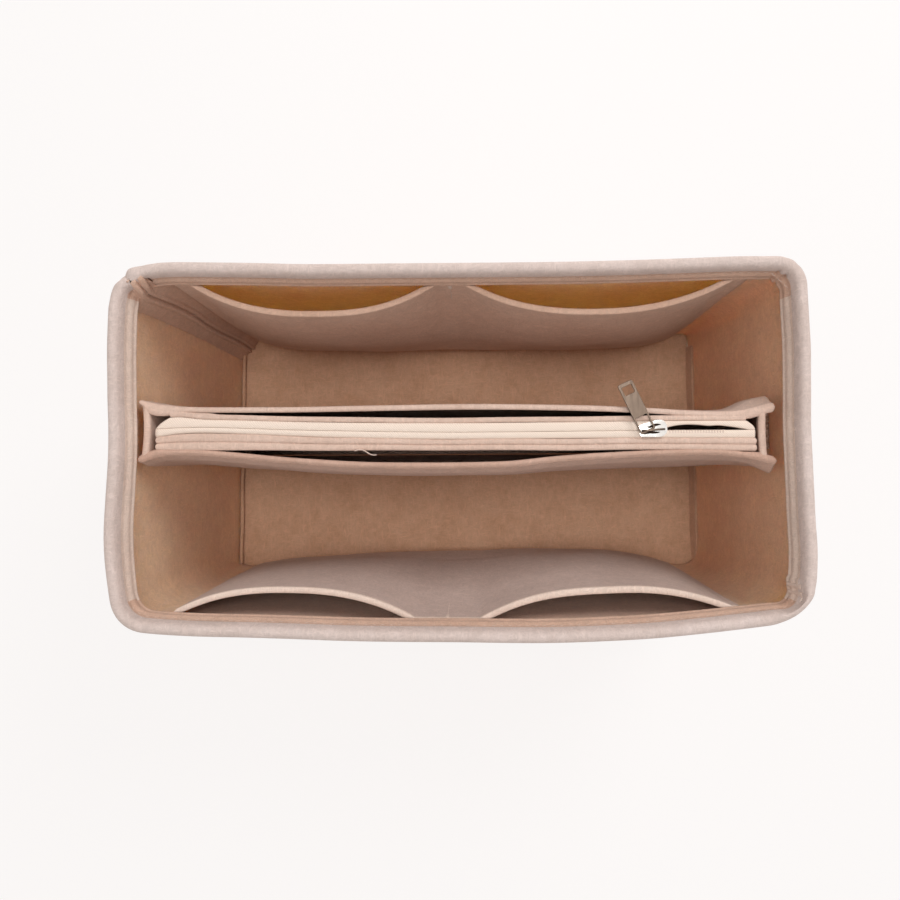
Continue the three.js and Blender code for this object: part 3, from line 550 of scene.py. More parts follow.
def seam_side(first, along):
    """Beside the full-height seam both ends of the strip round the corner and meet on its diagonal."""
    def at(z, inset):
        _, half, back, _ = plan(z)
        bend = mix(3.0, SEAM_BEND, smooth((z - 96) / 46))
        arc = bend * math.pi / 4
        whole = arc + SEAM_RESERVE - bend
        run = 0.1 + along / SEAM_RESERVE * (whole - 0.1)
        turn = math.pi / 4 - np.minimum(run, arc) / bend
        nip = 1.3 * bump(run, 0, 1.3) * smooth((z - 118) / 26)
        across = bend * (1 - np.cos(turn)) + nip + inset
        far = bend * (1 - np.sin(turn)) + np.maximum(0, run - arc) + inset * (1 - run / whole)
        rim = smooth((z - 141) / 6)
        if first:
            return stack(-half + across, back - far, z - rim * 1.7 * bump(run, 0, 2.2))
        curl = 0.8 * bump(run, 3.6, 2.4) - 0.8 * bump(run, 0, 1.2)
        return stack(-half + far, back - across, z + rim * curl)
    return at


# How far the real tray's sides stand out of the plain outline near the rim, by place along each side.
# The values were written from where the photo's outline differs from a plain one.
OUTLINE = {
    "left": share_curve([
        (-72, -2.9), (-64, -3.0), (-60, -2.9), (-56, -2.3), (-48, -1.15), (-40, -0.25), (-32, 0.1),
        (-20, -0.25), (-4, -0.85), (8, -0.7), (20, 0), (28, 0.3), (40, 0.8), (52, 0.8), (60, 0.6),
        (64.5, -0.25), (68.6, -1.6), (70.6, -3.0), (73, -2.7), (77, -2.4)]),
    "right": share_curve([
        (-74, -0.8), (-66, -0.4), (-60, 0.1), (-56, -0.3), (-48, 0.3), (-40, 0.65), (-30, 0.3),
        (-20, 0.2), (-4, 0), (8, -0.1), (20, 0.35), (28, 0.6), (40, 0.95), (52, 0.7), (62, 0.5),
        (70, 0.5), (76, 0.8)]),
    "back": share_curve([
        (-142, -1.0), (-134, -1.2), (-131, -0.9), (-127, 0.05), (-123, 0.4), (-116, 0.6),
        (-104, 0.35), (-84, -0.1), (-64, -0.8), (-44, -0.95), (-20, -0.95), (17, -1.05),
        (45, -1.0), (65, -0.75), (85, -0.3), (100, 0.15), (115, 0.55), (128, 0.45), (134, 0.7),
        (140, 1.0)]),
    "front": share_curve([
        (-140, -1.6), (-128, -1.6), (-120, -1.3), (-104, -1.15), (-84, -1.3), (-64, -1.1),
        (-44, -0.6), (-20, -0.25), (0, 0), (17, 0.55), (37, 1.1), (57, 1.15), (77, 0.9), (97, 0),
        (113, -0.85), (121, -1.3), (129, -1.9), (140, -1.3)]),
}


def settle(points):
    """Moves points of the tray's walls with the uneven outline, most at the rim."""
    points = np.array(points, float)
    x, y, z = points[..., 0], points[..., 1], points[..., 2]
    up = np.clip(z / HEIGHT, 0, 1) ** 2.5
    side = smooth((np.abs(x) - 96) / 34)
    long = smooth((np.abs(y) - 44) / 20)
    out_x = np.where(x < 0, -OUTLINE["left"](y), OUTLINE["right"](y))
    out_y = np.where(y < 0, -OUTLINE["front"](x), OUTLINE["back"](x))
    points[..., 0] = x + up * side * out_x
    points[..., 1] = y + up * long * out_y
    return points


def wall_columns():
    """Columns round the tray between the seam's sides: name, place function, way from the seam."""
    near = [0, 0.35, 0.9, 1.7, 2.7, 3.7, 4.7, 5.6, 6.3, 7.0, 7.8, 8.8, 10.0]
    far = 99
    sides = {"left": 27, "front": 61, "right": 41, "back": 55}
    corners = {
        "left": ("bend", 14, lambda share: corner(-1, -1, FRONT_LEFT_RADIUS, 2, share)),
        "front": ("lap", 22, lap_corner),
        "right": ("crease", 24, lambda share: corner(1, 1, BACK_RADIUS, 0, share)),
    }
    columns = [("seam_left", seam_side(True, a), a) for a in near]
    for side, count in sides.items():
        columns += [(side, straight(side, share), far) for share in np.linspace(0, 1, count)]
        if side in corners:
            name, count, at = corners[side]
            columns += [(name, at(share), far) for share in np.linspace(0, 1, count)[1:-1]]
    columns += [("seam_back", seam_side(False, a), a) for a in reversed(near)]
    return columns


def wall_section():
    """The strip's section: height, inset and part, from 0 outside and 1 inside to 5 behind the hem."""
    rise = [0, 1.5, 4, 6, *np.linspace(9, 130, 18), 133, 135, 137, 139, 141, 143, 145, 146.6]
    crest = [(147.7, -1.3), (148.7, -0.98), (149.4, -0.4), (149.85, 0.4), (150.05, 1.3), (149.9, 2.1),
             (149.5, 2.8), (148.8, 3.35), (147.8, 3.75), (146.6, 4.05)]
    fall = [(145.4, 4.25), (144.4, 4.3), (HEM_LINE, 4.32), (143.0, 4.55), (142.2, 4.95), (141.4, 5.2),
            (140.6, 5.28), (139.9, 5.2), (139.3, 5.22), (138.7, 5.5), (138.1, 5.72)]
    outer = [(z, -SWELL * float(smooth((z - 132) / 13)), 0) for z in rise]
    inner = [(z, WALL - 0.22 * float(smooth((z - 128) / 12)), 1) for z in rise]
    outer += [(z, inset, 2) for z, inset in crest]
    inner += [(rise[-1] + 0.1 * k, WALL - 0.2 + 0.02 * k, 3) for k in range(len(crest))]
    outer += [(z, inset, 4) for z, inset in fall]
    inner += [(z + 0.1, WALL + 0.2, 5) for z, inset in fall]
    return section(outer, inner, 0.4, 0.9)


def hem_creases(points, part, on_hem):
    """Adds the creases of the back-right corner to one column's points."""
    middle = np.array([128, 63])
    inward = points[:, :2] - middle
    place = np.arctan2(inward[:, 1], inward[:, 0])
    dent = bump(place, 1.2, 0.07) + bump(place, 0.78, 0.07) - 0.5 * bump(place, 1.0, 0.12)
    length = np.maximum(np.linalg.norm(inward, axis=1), 1e-6)
    points[:, :2] += inward / length[:, None] * (0.85 * dent * on_hem)[:, None]
    points[:, 2] -= 0.35 * dent * (part > 1.6)


def wall_ring(ring, name, at, way):
    """The section's points at one column, with what is special there."""
    z, inset, part = ring[:, 0], ring[:, 1], ring[:, 2]
    on_wall = (np.abs(part - 1) < 0.3).astype(float)
    on_hem = smooth((part - 2.2) / 1.6)
    inner_z = smooth((z - 4) / 2) * (1 - smooth((z - 136.5) / 1.5))
    fold = smooth(way / 0.8) * (1 - smooth((way - 4.6) / 2.4))
    own = inset + on_wall * inner_z * 2.2 * fold
    if name == "seam_back":
        own = own - on_hem * 1.9 * bump(way, 8, 3.6) * (1 - smooth((139.2 - z) / 1.5))
    points = at(z, own)
    if name in ("right", "lap"):
        y = points[:, 1]
        lap = smooth((y + 66) / 5) * (1 - smooth((y + 53.6) / 0.8)) * (points[:, 0] > 0)
        points = points - np.stack([on_hem * 0.7 * lap, 0 * y, 0 * y], 1)
    if name == "crease":
        hem_creases(points, part, on_hem)
    return settle(points)


def wall_felt(part, place):
    """The felt that a face of the strip shows, by its part of the section and its place in metres. The rim
    and side hems get painted light, the front and back hems and the inner walls painted shade, the back wall
    behind its pockets a painted glow.
    """
    long_hem, rim_low, pocket_end, pocket_wall = 61 * MM, 146.3 * MM, 117 * MM, 66 * MM
    if part < 0.6:
        return FELT
    if part > 3.2:
        # The hem's inner face: painted shade on the front and back hems, painted light on the side hems.
        return FELT_TRAY_PAINTED_SHADE if abs(place.y) > long_hem else FELT_PAINTED_LIGHT
    if part > 1.6 or place.z > rim_low:
        return FELT_RIM_PAINTED_LIGHT
    if abs(place.x) < pocket_end and abs(place.y) > pocket_wall:
        # Behind the pockets: a painted glow on the back wall, painted shade on the front wall.
        return FELT_PAINTED_GLOW if place.y > 0 else FELT_TRAY_PAINTED_SHADE
    return FELT_WALL_PAINTED_SHADE


def wall_and_hem():
    """One strip of felt: up the wall, over the rim and down inside as the hem."""
    ring = wall_section()
    points, faces = loft([wall_ring(ring, *column) for column in wall_columns()])
    piece = add_mesh("wall_strip_and_hem", points, faces, "tray", "felt", FELT_WALL_PAINTED_SHADE,
                     ("wall_strip", "hem_facing"))
    felts = [FELT_WALL_PAINTED_SHADE, FELT_RIM_PAINTED_LIGHT, FELT, FELT_TRAY_PAINTED_SHADE, FELT_PAINTED_LIGHT, FELT_PAINTED_GLOW]
    for extra in felts[1:]:
        piece.data.materials.append(extra)
    parts, size = ring[:, 2], len(ring)
    for face in piece.data.polygons:
        part = np.mean([parts[v % size] for v in face.vertices])
        face.material_index = felts.index(wall_felt(part, face.center))
    return piece


def hem_stitches():
    """The row of stitches that holds the hem, in its groove."""
    parts = []
    for name, at, way in wall_columns():
        if way > 9 and name != "crease":
            parts.append(settle(at(np.array([HEM_LINE]), np.array([4.3])))[0])
    points = np.array(parts)
    middle = np.array([0, 0, HEM_LINE])
    out = middle - points
    out[:, 2] = 0
    out /= np.linalg.norm(out, axis=1)[:, None]
    return add_mesh("hem_stitches", *stitches(points, 2.6, 0.8, 0.26, out, 0.12), "tray", "thread", THREAD)


def hem_tack(name, y):
    """A bar of close stitches across the lapped ends of the hem."""
    half = plan(145)[1]
    start = settle(np.array([half - 6.5, y, 138.6]))
    end = settle(np.array([half - 4.4, y, 146.9]))
    lift = (-0.95, 0, 0.3)
    across = (0, 1, 0)
    bar = satin(start, end, across, lift, 1.5, 0.4, 0.42)
    return add_mesh(name + "_threads", *bar, "tray", "thread", THREAD, (name,))


# Where the double ridge of the seam lies, by height
SEAM_X = share_curve([(4, -127.8), (30, -128.2), (60, -129), (90, -129.6), (120, -130.8), (137, -131.2),
                      (142, -130.6), (146, -131.2), (150, -133.0)])
SEAM_Y = share_curve([(4, 60.2), (30, 61.8), (60, 63.6), (90, 65.2), (120, 66.2), (137, 66.6),
                      (142, 67.0), (146, 68.3), (150, 70.6)])


def seam_ring(z):
    """The section of the seam allowances at a height: a ridge of two lips between the two walls."""
    _, half, back, _ = plan(z)
    c = np.array([float(SEAM_X(z)), float(SEAM_Y(z))])
    top = float(smooth((z - 130) / 14))
    along = np.array([1, 1]) / math.sqrt(2)
    inward = np.array([1, -1]) / math.sqrt(2)
    turned = c + 0.5 * math.sin(z / 13) * along * (1 - top)
    wide = mix(1.0, 0.8, top)
    left = mix(np.array([-half + WALL - 0.5, c[1] - 7]), c - along * 3.2 - inward * 2.2, top)
    right = mix(np.array([c[0] + 7, back - WALL + 0.5]), c + along * 3.2 - inward * 2.2, top)
    root = mix(np.array([-half + WALL - 1.2, back - WALL + 1.2]), c - inward * 3.4, top)
    lip = [(0.24, 2.7 * wide, 0.1), (0.32, 1.9 * wide, 1.0), (0.4, 0.9 * wide, 0.9), (0.46, 0.28, -0.3)]
    pairs = [(0.0, left), (0.14, mix(left, turned, 0.55))]
    pairs += [(share, turned - along * way + inward * out) for share, way, out in lip]
    pairs += [(0.5, turned - inward * 1.3)]
    pairs += [(1 - share, turned + along * way + inward * out) for share, way, out in reversed(lip)]
    pairs += [(0.86, mix(right, turned, 0.55)), (1.0, right)]
    shares = np.linspace(0, 1, 41)
    front = np.stack([share_curve([(t, p[k]) for t, p in pairs])(shares) for k in (0, 1)], 1)
    rear = np.concatenate([mix(right, root, np.linspace(0.04, 1, 21)[:, None]),
                           mix(root, left, np.linspace(0.05, 0.96, 20)[:, None])])
    ring = np.concatenate([front, rear])
    return settle(np.c_[ring, np.full(len(ring), z)])


def seam_allowance():
    """The seam allowances turned into the back-left corner: a double ridge that twists up to the rim."""
    rings = [seam_ring(z) for z in [3.2, 6, *np.linspace(12, 126, 40), *np.linspace(128, 149.6, 26)]]
    return add_mesh("seam_allowance", *loft(rings), "tray", "felt", FELT_TRAY_PAINTED_SHADE)


def floor_plate():
    """The flat part of the floor, a little uneven."""
    inset = WALL + 0.05
    foot_left, foot_right = -132.6, 132.4
    rows = np.linspace(-1, 1, 60)
    radii = {(-1, -1): FRONT_LEFT_RADIUS, (1, -1): FRONT_RIGHT_RADIUS, (1, 1): BACK_RADIUS,
             (-1, 1): inset + 1}

    def edge(y_side, x):
        radius = radii[(-1 if x < 0 else 1, y_side)] - inset
        beyond = max(0.0, abs(x) - (FOOT_HALF_LENGTH - inset - radius))
        bend = 2 / FOOT_SQUARE
        round_part = max(0, radius ** bend - beyond ** bend) ** (1 / bend)
        return y_side * (FOOT_HALF_WIDTH - inset - radius + round_part)

    def plate(x, v, depth):
        y = mix(edge(-1, x), edge(1, x), (v + 1) / 2)
        soft = 0.35 * waves(21, 60)(x * 0.8 + y) * waves(22, 50)(y * 0.9 - x)
        return stack(x, y, FLOOR_FELT - depth + (soft - 0.1) * (1 - depth / FLOOR_FELT))

    return felt_sheet(np.linspace(foot_left, foot_right, 100), rows, FLOOR_FELT, plate, 0.7, 0.9)


def floor():
    """The felt floor with its two ends turned up as lips: low on the left, wider on the right."""
    left_wobble, right_wobble = waves(30, 40), waves(32, 40)

    def left_lip(y, v, depth):
        x = -133.3 + depth + 1.1 * smooth(v / 5) + 0.25 * left_wobble(y)
        return stack(x, y, 1.0 + v + 0.3 * left_wobble(y * 1.3 + 9) * (v / 6))

    def right_lip(y, v, depth):
        near_front = smooth((-50 - y) / 14)
        x = 130.8 + 2.2 * smooth(v / 11) + 0.35 * right_wobble(y) + depth
        height = v * (1 - 0.35 * near_front)
        return stack(x, y, 0.6 + height + 0.3 * right_wobble(y * 1.3 + 9) * (v / 12))

    thick, tips = 1.9, 1.2
    parts = [
        floor_plate(),
        felt_sheet(np.linspace(-66, 58, 64), np.linspace(0, 5.5, 10), thick, left_lip, 1, tips),
        felt_sheet(np.linspace(-66, 60, 64), np.linspace(0, 10.0, 12), thick, right_lip, 1, tips),
    ]
    # The floor takes the darker, more orange felt copy: painted shade.
    return add_mesh("floor_with_lips", *join_parts(parts), "tray", "felt_dark", FELT_FLOOR_PAINTED_SHADE,
                    ("floor_panel",))


# Wall pockets
# The front pockets take the paler felt copy and a lighter one on their lips: painted light. The back pockets
# and their lips take the darker tray copy: painted shade.
POCKETS = {
    "back": dict(
        side=1, bulge=12.2, mouths=[(-114, -9), (3.5, 116)], left=124.2, right=123.9,
        felt=FELT_TRAY_PAINTED_SHADE, lip_felt=FELT_TRAY_PAINTED_SHADE, low=share_curve([(-124, 1), (124, 1)])),
    "front": dict(
        side=-1, bulge=10.6, mouths=[(-120, -17.5), (9, 112)], left=121.4, right=117.4,
        felt=FELT_PALE_PAINTED_LIGHT, lip_felt=FELT_PAINTED_LIGHT,
        low=share_curve([(-122, 0.5), (-104, 0.56), (-76, 0.66), (-40, 0.88), (0, 1.02), (53, 1.04),
                         (98, 0.84), (118, 0.6)])),
}


def mouth_arch(wall, x):
    """How far a pocket gapes at a place along it, 1 in the middle of a mouth."""
    for a, b in wall["mouths"]:
        q = (2 * x - a - b) / (b - a)
        if abs(q) < 1:
            return 1 - abs(q) ** 2.5
    return 0.0


def pocket_face(wall):
    """Places on the panel of a wall: x along it, up from 0 to 1, depth into the felt."""
    side = wall["side"]
    ripple = waves(41 + side, 70)

    def face(x, up, depth):
        arch = mouth_arch(wall, x)
        low, high = FLOOR_FELT + 0.2, HEM_LOW - 0.3 - 5 * arch
        z = mix(low, high, up)
        wall_face = plan(z)[2] - WALL if side > 0 else front_line(z, x) + WALL
        end = wall["left"] if x < 0 else wall["right"]
        ends = 1 - min(1.0, abs(x) / end) ** 8
        rise = smooth((z - low) / 17)
        fade = 1 - smooth((up - 0.35) / 0.65)
        stand = 9 * wall["low"](x) * ends * rise * fade + wall["bulge"] * arch * smooth(up)
        soft = 0.45 * ripple(x + 0.4 * z) * ends * rise * (1 - 0.6 * smooth((up - 0.7) / 0.3))
        fold = bump(z, 47 + 2 * ripple(x * 0.7), 2.2) * bump(x, 25, 46) * (side < 0)
        thin = 1 - 0.75 * smooth((abs(x) - end + 4) / 4)
        lip = smooth(arch * 4) * smooth((up - 0.93) / 0.05)
        own = depth * thin * (1 + 0.2 * lip)
        creased = 0.7 * fold * depth / POCKET_FELT
        y = wall_face - side * (0.3 + stand + soft - creased + own - 0.5 * lip)
        return settle(stack(x, y, z))

    return face


def pocket_panel(name):
    """The felt of a wall's two pockets. The rounded lip of their mouths takes its own copy of the felt:
    painted light on the front pockets' lips, the same painted shade as the panel on the back ones.
    """
    wall = POCKETS[name]
    marks = [-wall["left"], *wall["mouths"][0], *wall["mouths"][1], wall["right"]]
    xs = [marks[0]]
    for k, (a, b) in enumerate(zip(marks, marks[1:])):
        count = 44 if k % 2 else 6
        xs += list(mix(a, b, np.linspace(0, 1, count + 1)[1:]))
    ups = np.concatenate([np.linspace(0, 0.2, 12), np.linspace(0.2, 0.5, 18)[1:],
                          np.linspace(0.5, 0.9, 12)[1:], [0.93, 0.95, 0.97, 0.985, 1.0]])
    points, faces = felt_sheet(np.array(xs), ups, POCKET_FELT, pocket_face(wall), 0.6, 0.45)
    piece = add_mesh(f"{name}_pocket_felt", points, faces, "tray", "felt", wall["felt"],
                     (f"{name}_pocket_panel",))
    piece.data.materials.append(wall["lip_felt"])
    size = 2 * len(ups) + 8
    for number, polygon in enumerate(piece.data.polygons[:len(points) - size]):
        polygon.material_index = int(len(ups) <= number % size <= len(ups) + 6)
    return piece


def pocket_tack(name):
    """The short seam between the two mouths, a bar of stitches at its top."""
    wall = POCKETS[name]
    x = (wall["mouths"][0][1] + wall["mouths"][1][0]) / 2
    face = pocket_face(wall)
    ups = np.linspace(0.84, 0.995, 24)
    line = face(x, ups, np.full(24, POCKET_FELT + 0.05))
    out = np.array([0, -wall["side"], 0.0])
    run = stitches(line, 2.4, 0.6, 0.36, out, 0.0)
    top = satin(line[-1] - np.array([0, 0, 5.0]), line[-1], (1, 0, 0), out, 1.5, 0.42, 0.36)
    return add_mesh(f"{name}_pocket_threads", *join_parts([run, top]), "tray", "thread", THREAD,
                    (f"{name}_pocket_tack",))


# Pouch
# How far each panel's top edge stands off, from its left end at -1 to its right end at 1
BACK_EDGE = share_curve([
    (-1, 1.3), (-0.97, 1.0), (-0.9, 0.65), (-0.82, 0.48), (-0.5, 0.42), (-0.2, 0.54), (0, 0.6),
    (0.2, 0.55), (0.45, 0.33), (0.62, 0.08), (0.76, -0.2), (0.88, -0.2), (0.94, 0.15),
    (0.97, 0.45), (1, 0.6)])
FRONT_EDGE = share_curve([
    (-1, 0.45), (-0.93, -0.26), (-0.8, -0.3), (-0.5, 0.52), (-0.25, 0.97), (0.15, 0.95), (0.32, 0.48),
    (0.46, 0.18), (0.66, -0.08), (0.82, -0.1), (0.93, 0.3), (1, 0.9)])
# The front panel takes the darker felt copy: painted shade.
PANELS = {
    "back": dict(side=1, near=6.4, reach=4.3, belly=2.5, base=9, edge=BACK_EDGE, felt=FELT, tips=1.0),
    "front": dict(side=-1, near=8.2, reach=4.3, belly=4, base=10, edge=FRONT_EDGE, felt=FELT_PAINTED_SHADE,
                  tips=1.5),
}


def pouch_felt(name, sheet, replaced, felt_stuff=FELT):
    """A felt piece of the pouch, in the place of one solid of the frame."""
    return add_mesh(name, *sheet, "pouch", "felt", felt_stuff, (replaced,))


def lean_share(z):
    """From 0 at the top of the patches to 1 at the pouch's top edge."""
    return smooth((z - PATCH_TOP) / (POUCH_TOP - PATCH_TOP))


def pouch_end(side, z, beyond):
    """An end of the pouch, beyond the gusset's face by some way. The right end leans in at its top."""
    inward = mix(4.5, 2.2, beyond / PANEL_BEYOND) * lean_share(z) if side > 0 else 0
    return side * (plan(z)[1] - 7.3 + beyond - inward)


def panel_reach(name, place, z):
    """How far a panel's inner face stands from the zip line."""
    wall = PANELS[name]
    up = (z - POUCH_BOTTOM) / (POUCH_TOP - POUCH_BOTTOM)
    edge = wall["near"] + wall["reach"] * wall["edge"](place)
    belly = wall["belly"] * np.sin(np.pi * np.clip(up, 0, 1)) * (1 - place ** 8)
    return mix(wall["base"], edge, smooth(up)) + belly


# How much thicker the back panel is near its ends
EAR_SWELL = share_curve([
    (-1, 1.0), (-0.99, 1.1), (-0.971, 1.95), (-0.951, 2.15), (-0.923, 2.0), (-0.885, 1.45),
    (-0.84, 1.0), (0, 1.0), (0.78, 1.0), (0.86, 1.4), (0.93, 1.8), (1, 1.7)])


def pouch_panel(name):
    """A long outer side of the pouch, swollen and flared at its ears."""
    wall = PANELS[name]
    ripple = waves(51 + wall["side"], 60)

    def face(place, z, depth):
        left, right = (pouch_end(end, z, PANEL_BEYOND) for end in (-1, 1))
        x = mix(left, right, (place + 1) / 2)
        swell = EAR_SWELL(place) if name == "back" else 1 + 0.38 * smooth((abs(place) - 0.9) / 0.05)
        depth = POUCH_FELT - (POUCH_FELT - depth) * swell
        mid_height = np.sin(np.pi * np.clip((z - POUCH_BOTTOM) / (POUCH_TOP - POUCH_BOTTOM), 0, 1))
        soft = 0.5 * ripple(x + 0.5 * z) * (1 - place ** 8) * mid_height
        if name == "back":
            flare = 3.4 * smooth((place - 0.85) / 0.09)
            soft = soft + flare * smooth((z - 104) / 14) * (1 - smooth((z - 125) / 11))
        else:
            roll = smooth((POUCH_TOP - z) / 9) * depth / POUCH_FELT
            fold = bump(z, 118 + 14 * (place - 0.9), 4) * smooth((place - 0.72) / 0.08)
            ear = smooth((z - 112) / 18) * smooth((place - 0.9) / 0.1) * (1 - smooth((z - 128) / 9))
            soft = soft + 1.7 * roll - 1.0 * fold + 2.4 * ear
        return stack(x, ZIP_Y + wall["side"] * (panel_reach(name, place, z) + soft + depth), z)

    places = np.concatenate([[-1, -0.997, -0.99, -0.98, -0.965], np.linspace(-0.95, 0.95, 120),
                             [0.965, 0.98, 0.99, 0.997, 1]])
    zs = np.concatenate([np.linspace(POUCH_BOTTOM, 100, 20), np.linspace(100, 134, 22)[1:],
                         [135, 136, POUCH_TOP]])
    sheet = felt_sheet(places, zs, POUCH_FELT, face, 0.9, wall["tips"])
    return pouch_felt(f"pouch_{name}_felt", sheet, f"pouch_{name}_panel", wall["felt"])


def gusset(name, side):
    """The narrow felt strip at an end of the pouch."""
    full_bow = 0.7 if side < 0 else 0.3
    thick = 2.9 if side < 0 else 3.0

    def face(share, z, depth):
        bow = full_bow * np.sin(np.pi * share) * lean_share(z)
        x = pouch_end(side, z, 0) - side * depth
        left, right = (pouch_end(end, z, PANEL_BEYOND) for end in (-1, 1))
        place = 2 * (x - left) / (right - left) - 1
        front = ZIP_Y - panel_reach("front", place, z) - 0.9
        back = ZIP_Y + panel_reach("back", place, z) + 0.9
        return stack(x - side * bow, mix(front, back, share), z)

    zs = np.concatenate([np.linspace(POUCH_BOTTOM, PATCH_TOP, 14),
                         np.linspace(PATCH_TOP, POUCH_TOP - 0.2, 14)[1:]])
    sheet = felt_sheet(np.linspace(0, 1, 24), zs, thick, face, 0.3, 0.9)
    return pouch_felt(f"pouch_{name}_strip", sheet, f"pouch_{name}_gusset")


def pouch_base():
    """The bottom strip of the pouch, between its two panels."""
    def face(x, v, depth):
        return stack(x, ZIP_Y + v, POUCH_BOTTOM + POUCH_FELT - depth)
    half_length, front, back = 126.4, -9.7, 8.7
    sheet = felt_sheet(np.linspace(-half_length, half_length, 40), np.linspace(front, back, 10),
                       POUCH_FELT, face, 1, 0.8)
    return pouch_felt("pouch_base_felt", sheet, "pouch_base")


def zip_half(z):
    """Half the inside width of the zip pocket at a height."""
    up = np.clip((z - ZIP_LOW) / (POUCH_TOP - ZIP_LOW), 0, 1)
    opening = np.sin(np.pi / 2 * np.clip(up / 0.5, 0, 1))
    return mix(0.15, 3.9, opening) + 0.4 * np.sin(np.pi * up)


# How the zip line wanders from straight, and how wide the two halves of its band are along it
ZIP_BEND = share_curve([
    (-128, 1.6), (-116, 2.2), (-104, 2.3), (-88, 1.75), (-68, 1.0), (-46, 0.45), (-6, -0.3),
    (42, -0.25), (80, 0), (125, 0)])
BACK_WIDTH = share_curve([
    (-128, 4.9), (-119, 4.7), (-115, 4.3), (-105, 3.4), (-90, 3.45), (-46, 3.6), (-6, 3.9),
    (125, 3.9)])
FRONT_WIDTH = share_curve([
    (-128, 3.5), (-122, 3.1), (-116, 2.5), (-106, 2.3), (-70, 2.5), (-46, 2.8), (40, 2.9),
    (80, 3.1), (100, 3.3), (125, 3.4)])
FRONT_OUTER = share_curve([
    (-128, 7.0), (-107, 7.1), (-82, 7.4), (-49, 7.7), (-8, 7.8), (42, 8.0), (96, 8.1),
    (112, 8.6), (125, 8.8)])


def end_shape(x, r, z):
    """Where a place of the zip band lies along it: its back corners are cut away, r is the way back."""
    high = smooth((z - 90) / 40)
    left = np.clip((-x - 109) / 16, 0, 1) * (1.2 - 5.6 * np.clip((r + 0.4) / 5, 0, 1) ** 1.6)
    right = np.clip((x - 108) / 15, 0, 1) * 4.4 * smooth((r - 0.3) / 5.2)
    return x - high * (left + right)


def zip_panel(name, side):
    """A felt side of the closed inner pocket."""
    ripple = waves(61 + side, 80)

    def face(x, z, depth):
        top = smooth((z - 118) / 4)
        share = depth / ZIP_FELT
        width = BACK_WIDTH(x) if side > 0 else FRONT_WIDTH(x)
        under = smooth((z - 134.8) / 1.4) if side < 0 else top
        room = 0.5 * ZIP_BEND(x) if side < 0 else 0
        half = mix(zip_half(z) + room, width, under)
        outer = half + 2.2
        if side < 0:
            outer = mix(outer, FRONT_OUTER(x) + ZIP_BEND(x), top)
        else:
            fill = smooth(np.maximum(0, np.maximum((-99 - x) / 6, (x - 98) / 6))) * smooth((z - 112) / 10)
            meet = panel_reach("back", x / 131, z) - 0.1 - ZIP_BEND(x) * top
            outer = mix(outer, np.maximum(outer, meet), fill)
        soft = 0.2 * ripple(x) * smooth((z - 60) / 60)
        r = mix(half, outer, share) + soft
        return stack(end_shape(x, side * r, z), ZIP_Y + ZIP_BEND(x) * top + side * r, z)

    def outer_layer(x, z, depth):
        return face(x, z, depth + ZIP_FELT / 2)

    xs = np.concatenate([np.linspace(ZIP_LEFT, -108, 16), np.linspace(-106, 106, 100),
                         np.linspace(108, ZIP_RIGHT, 16)])
    zs = np.concatenate([np.linspace(ZIP_LOW, 118, 14), np.linspace(120, 134, 12), [135, 136, POUCH_TOP]])
    if side > 0:
        parts = [felt_sheet(xs, zs, ZIP_FELT, face, 0.8, 0.55)]
    else:
        parts = [felt_sheet(xs, zs, ZIP_FELT / 2, layer, 0.8, 0.7) for layer in (face, outer_layer)]
    return pouch_felt(f"zip_{name}_felt", join_parts(parts), f"zip_pocket_{name}")


def zip_end(name, side):
    """The sewn end of the inner pocket, turned in between its two sides."""
    outside = ZIP_LEFT if side < 0 else ZIP_RIGHT

    def face(share, z, depth):
        top = smooth((z - 118) / 4)
        width = mix(zip_half(z), 3.0, top)
        r = mix(-width - 0.3, width + 0.3, share)
        x = outside - side * (0.5 + depth)
        return stack(end_shape(x, r, z), ZIP_Y + ZIP_BEND(x) * top + r, z - 0.6)

    zs = np.linspace(24, POUCH_TOP - 0.1, 20)
    sheet = felt_sheet(np.linspace(0, 1, 12), zs, 1.6, face, 0.8, 0.7)
    return pouch_felt(f"zip_{name}_end_felt", sheet, f"zip_pocket_{name}_end")


# How far the back half of the chain stands off where the zip is open
OPEN_HALF = share_curve([(84, 0), (86.5, 0.95), (91, 1.9), (95, 2.25), (100, 2.1), (104, 1.7), (108, 1.85),
                         (112, 1.5), (116, 0.9), (120.5, 0)])


def chain_section(side, gap, wide, top):
    """The band's section from its gap to its width: ways from the zip line, and heights."""
    under = 135.1
    if side > 0:
        ways = [mix(gap, wide, share) for share in (0.25, 0.4, 0.45, 0.55, 0.7, 0.88)]
        outer = [(gap, 135.0), (gap + 0.03, top - 0.12), (gap + 0.35, top + 0.1), (ways[2], top + 0.2),
                 (ways[4], top + 0.1), (ways[5], top - 0.08), (wide - 0.1, top - 0.35), (wide + 0.1, 131)]
        inner = [(gap + 0.35, 134.6), (gap + 0.45, 134.9), (ways[0], under), (ways[1], under),
                 (ways[3], under), (ways[4], under), (wide - 0.5, 134.8), (wide - 0.4, 131)]
    else:
        outer = [(gap, 135.0), (gap + 0.03, top - 0.1), (gap + 0.3, top + 0.1), (gap + 1.1, top + 0.18),
                 (mix(gap, wide, 0.7), top + 0.05), (wide - 0.35, top - 0.25), (wide - 0.05, top - 0.6),
                 (wide + 0.1, 135.2)]
        inner = [(gap + 0.35, 134.7), (gap + 0.4, 134.9), (gap + 0.6, under), (gap + 0.9, under),
                 (gap + 1.0, under), (gap + 1.1, under), (wide - 0.6, 135.0), (wide - 0.4, 134.9)]
    outer, inner = ([(way, z, 0) for way, z in face] for face in (outer, inner))
    return section(outer, inner, 0.1, 0.15)


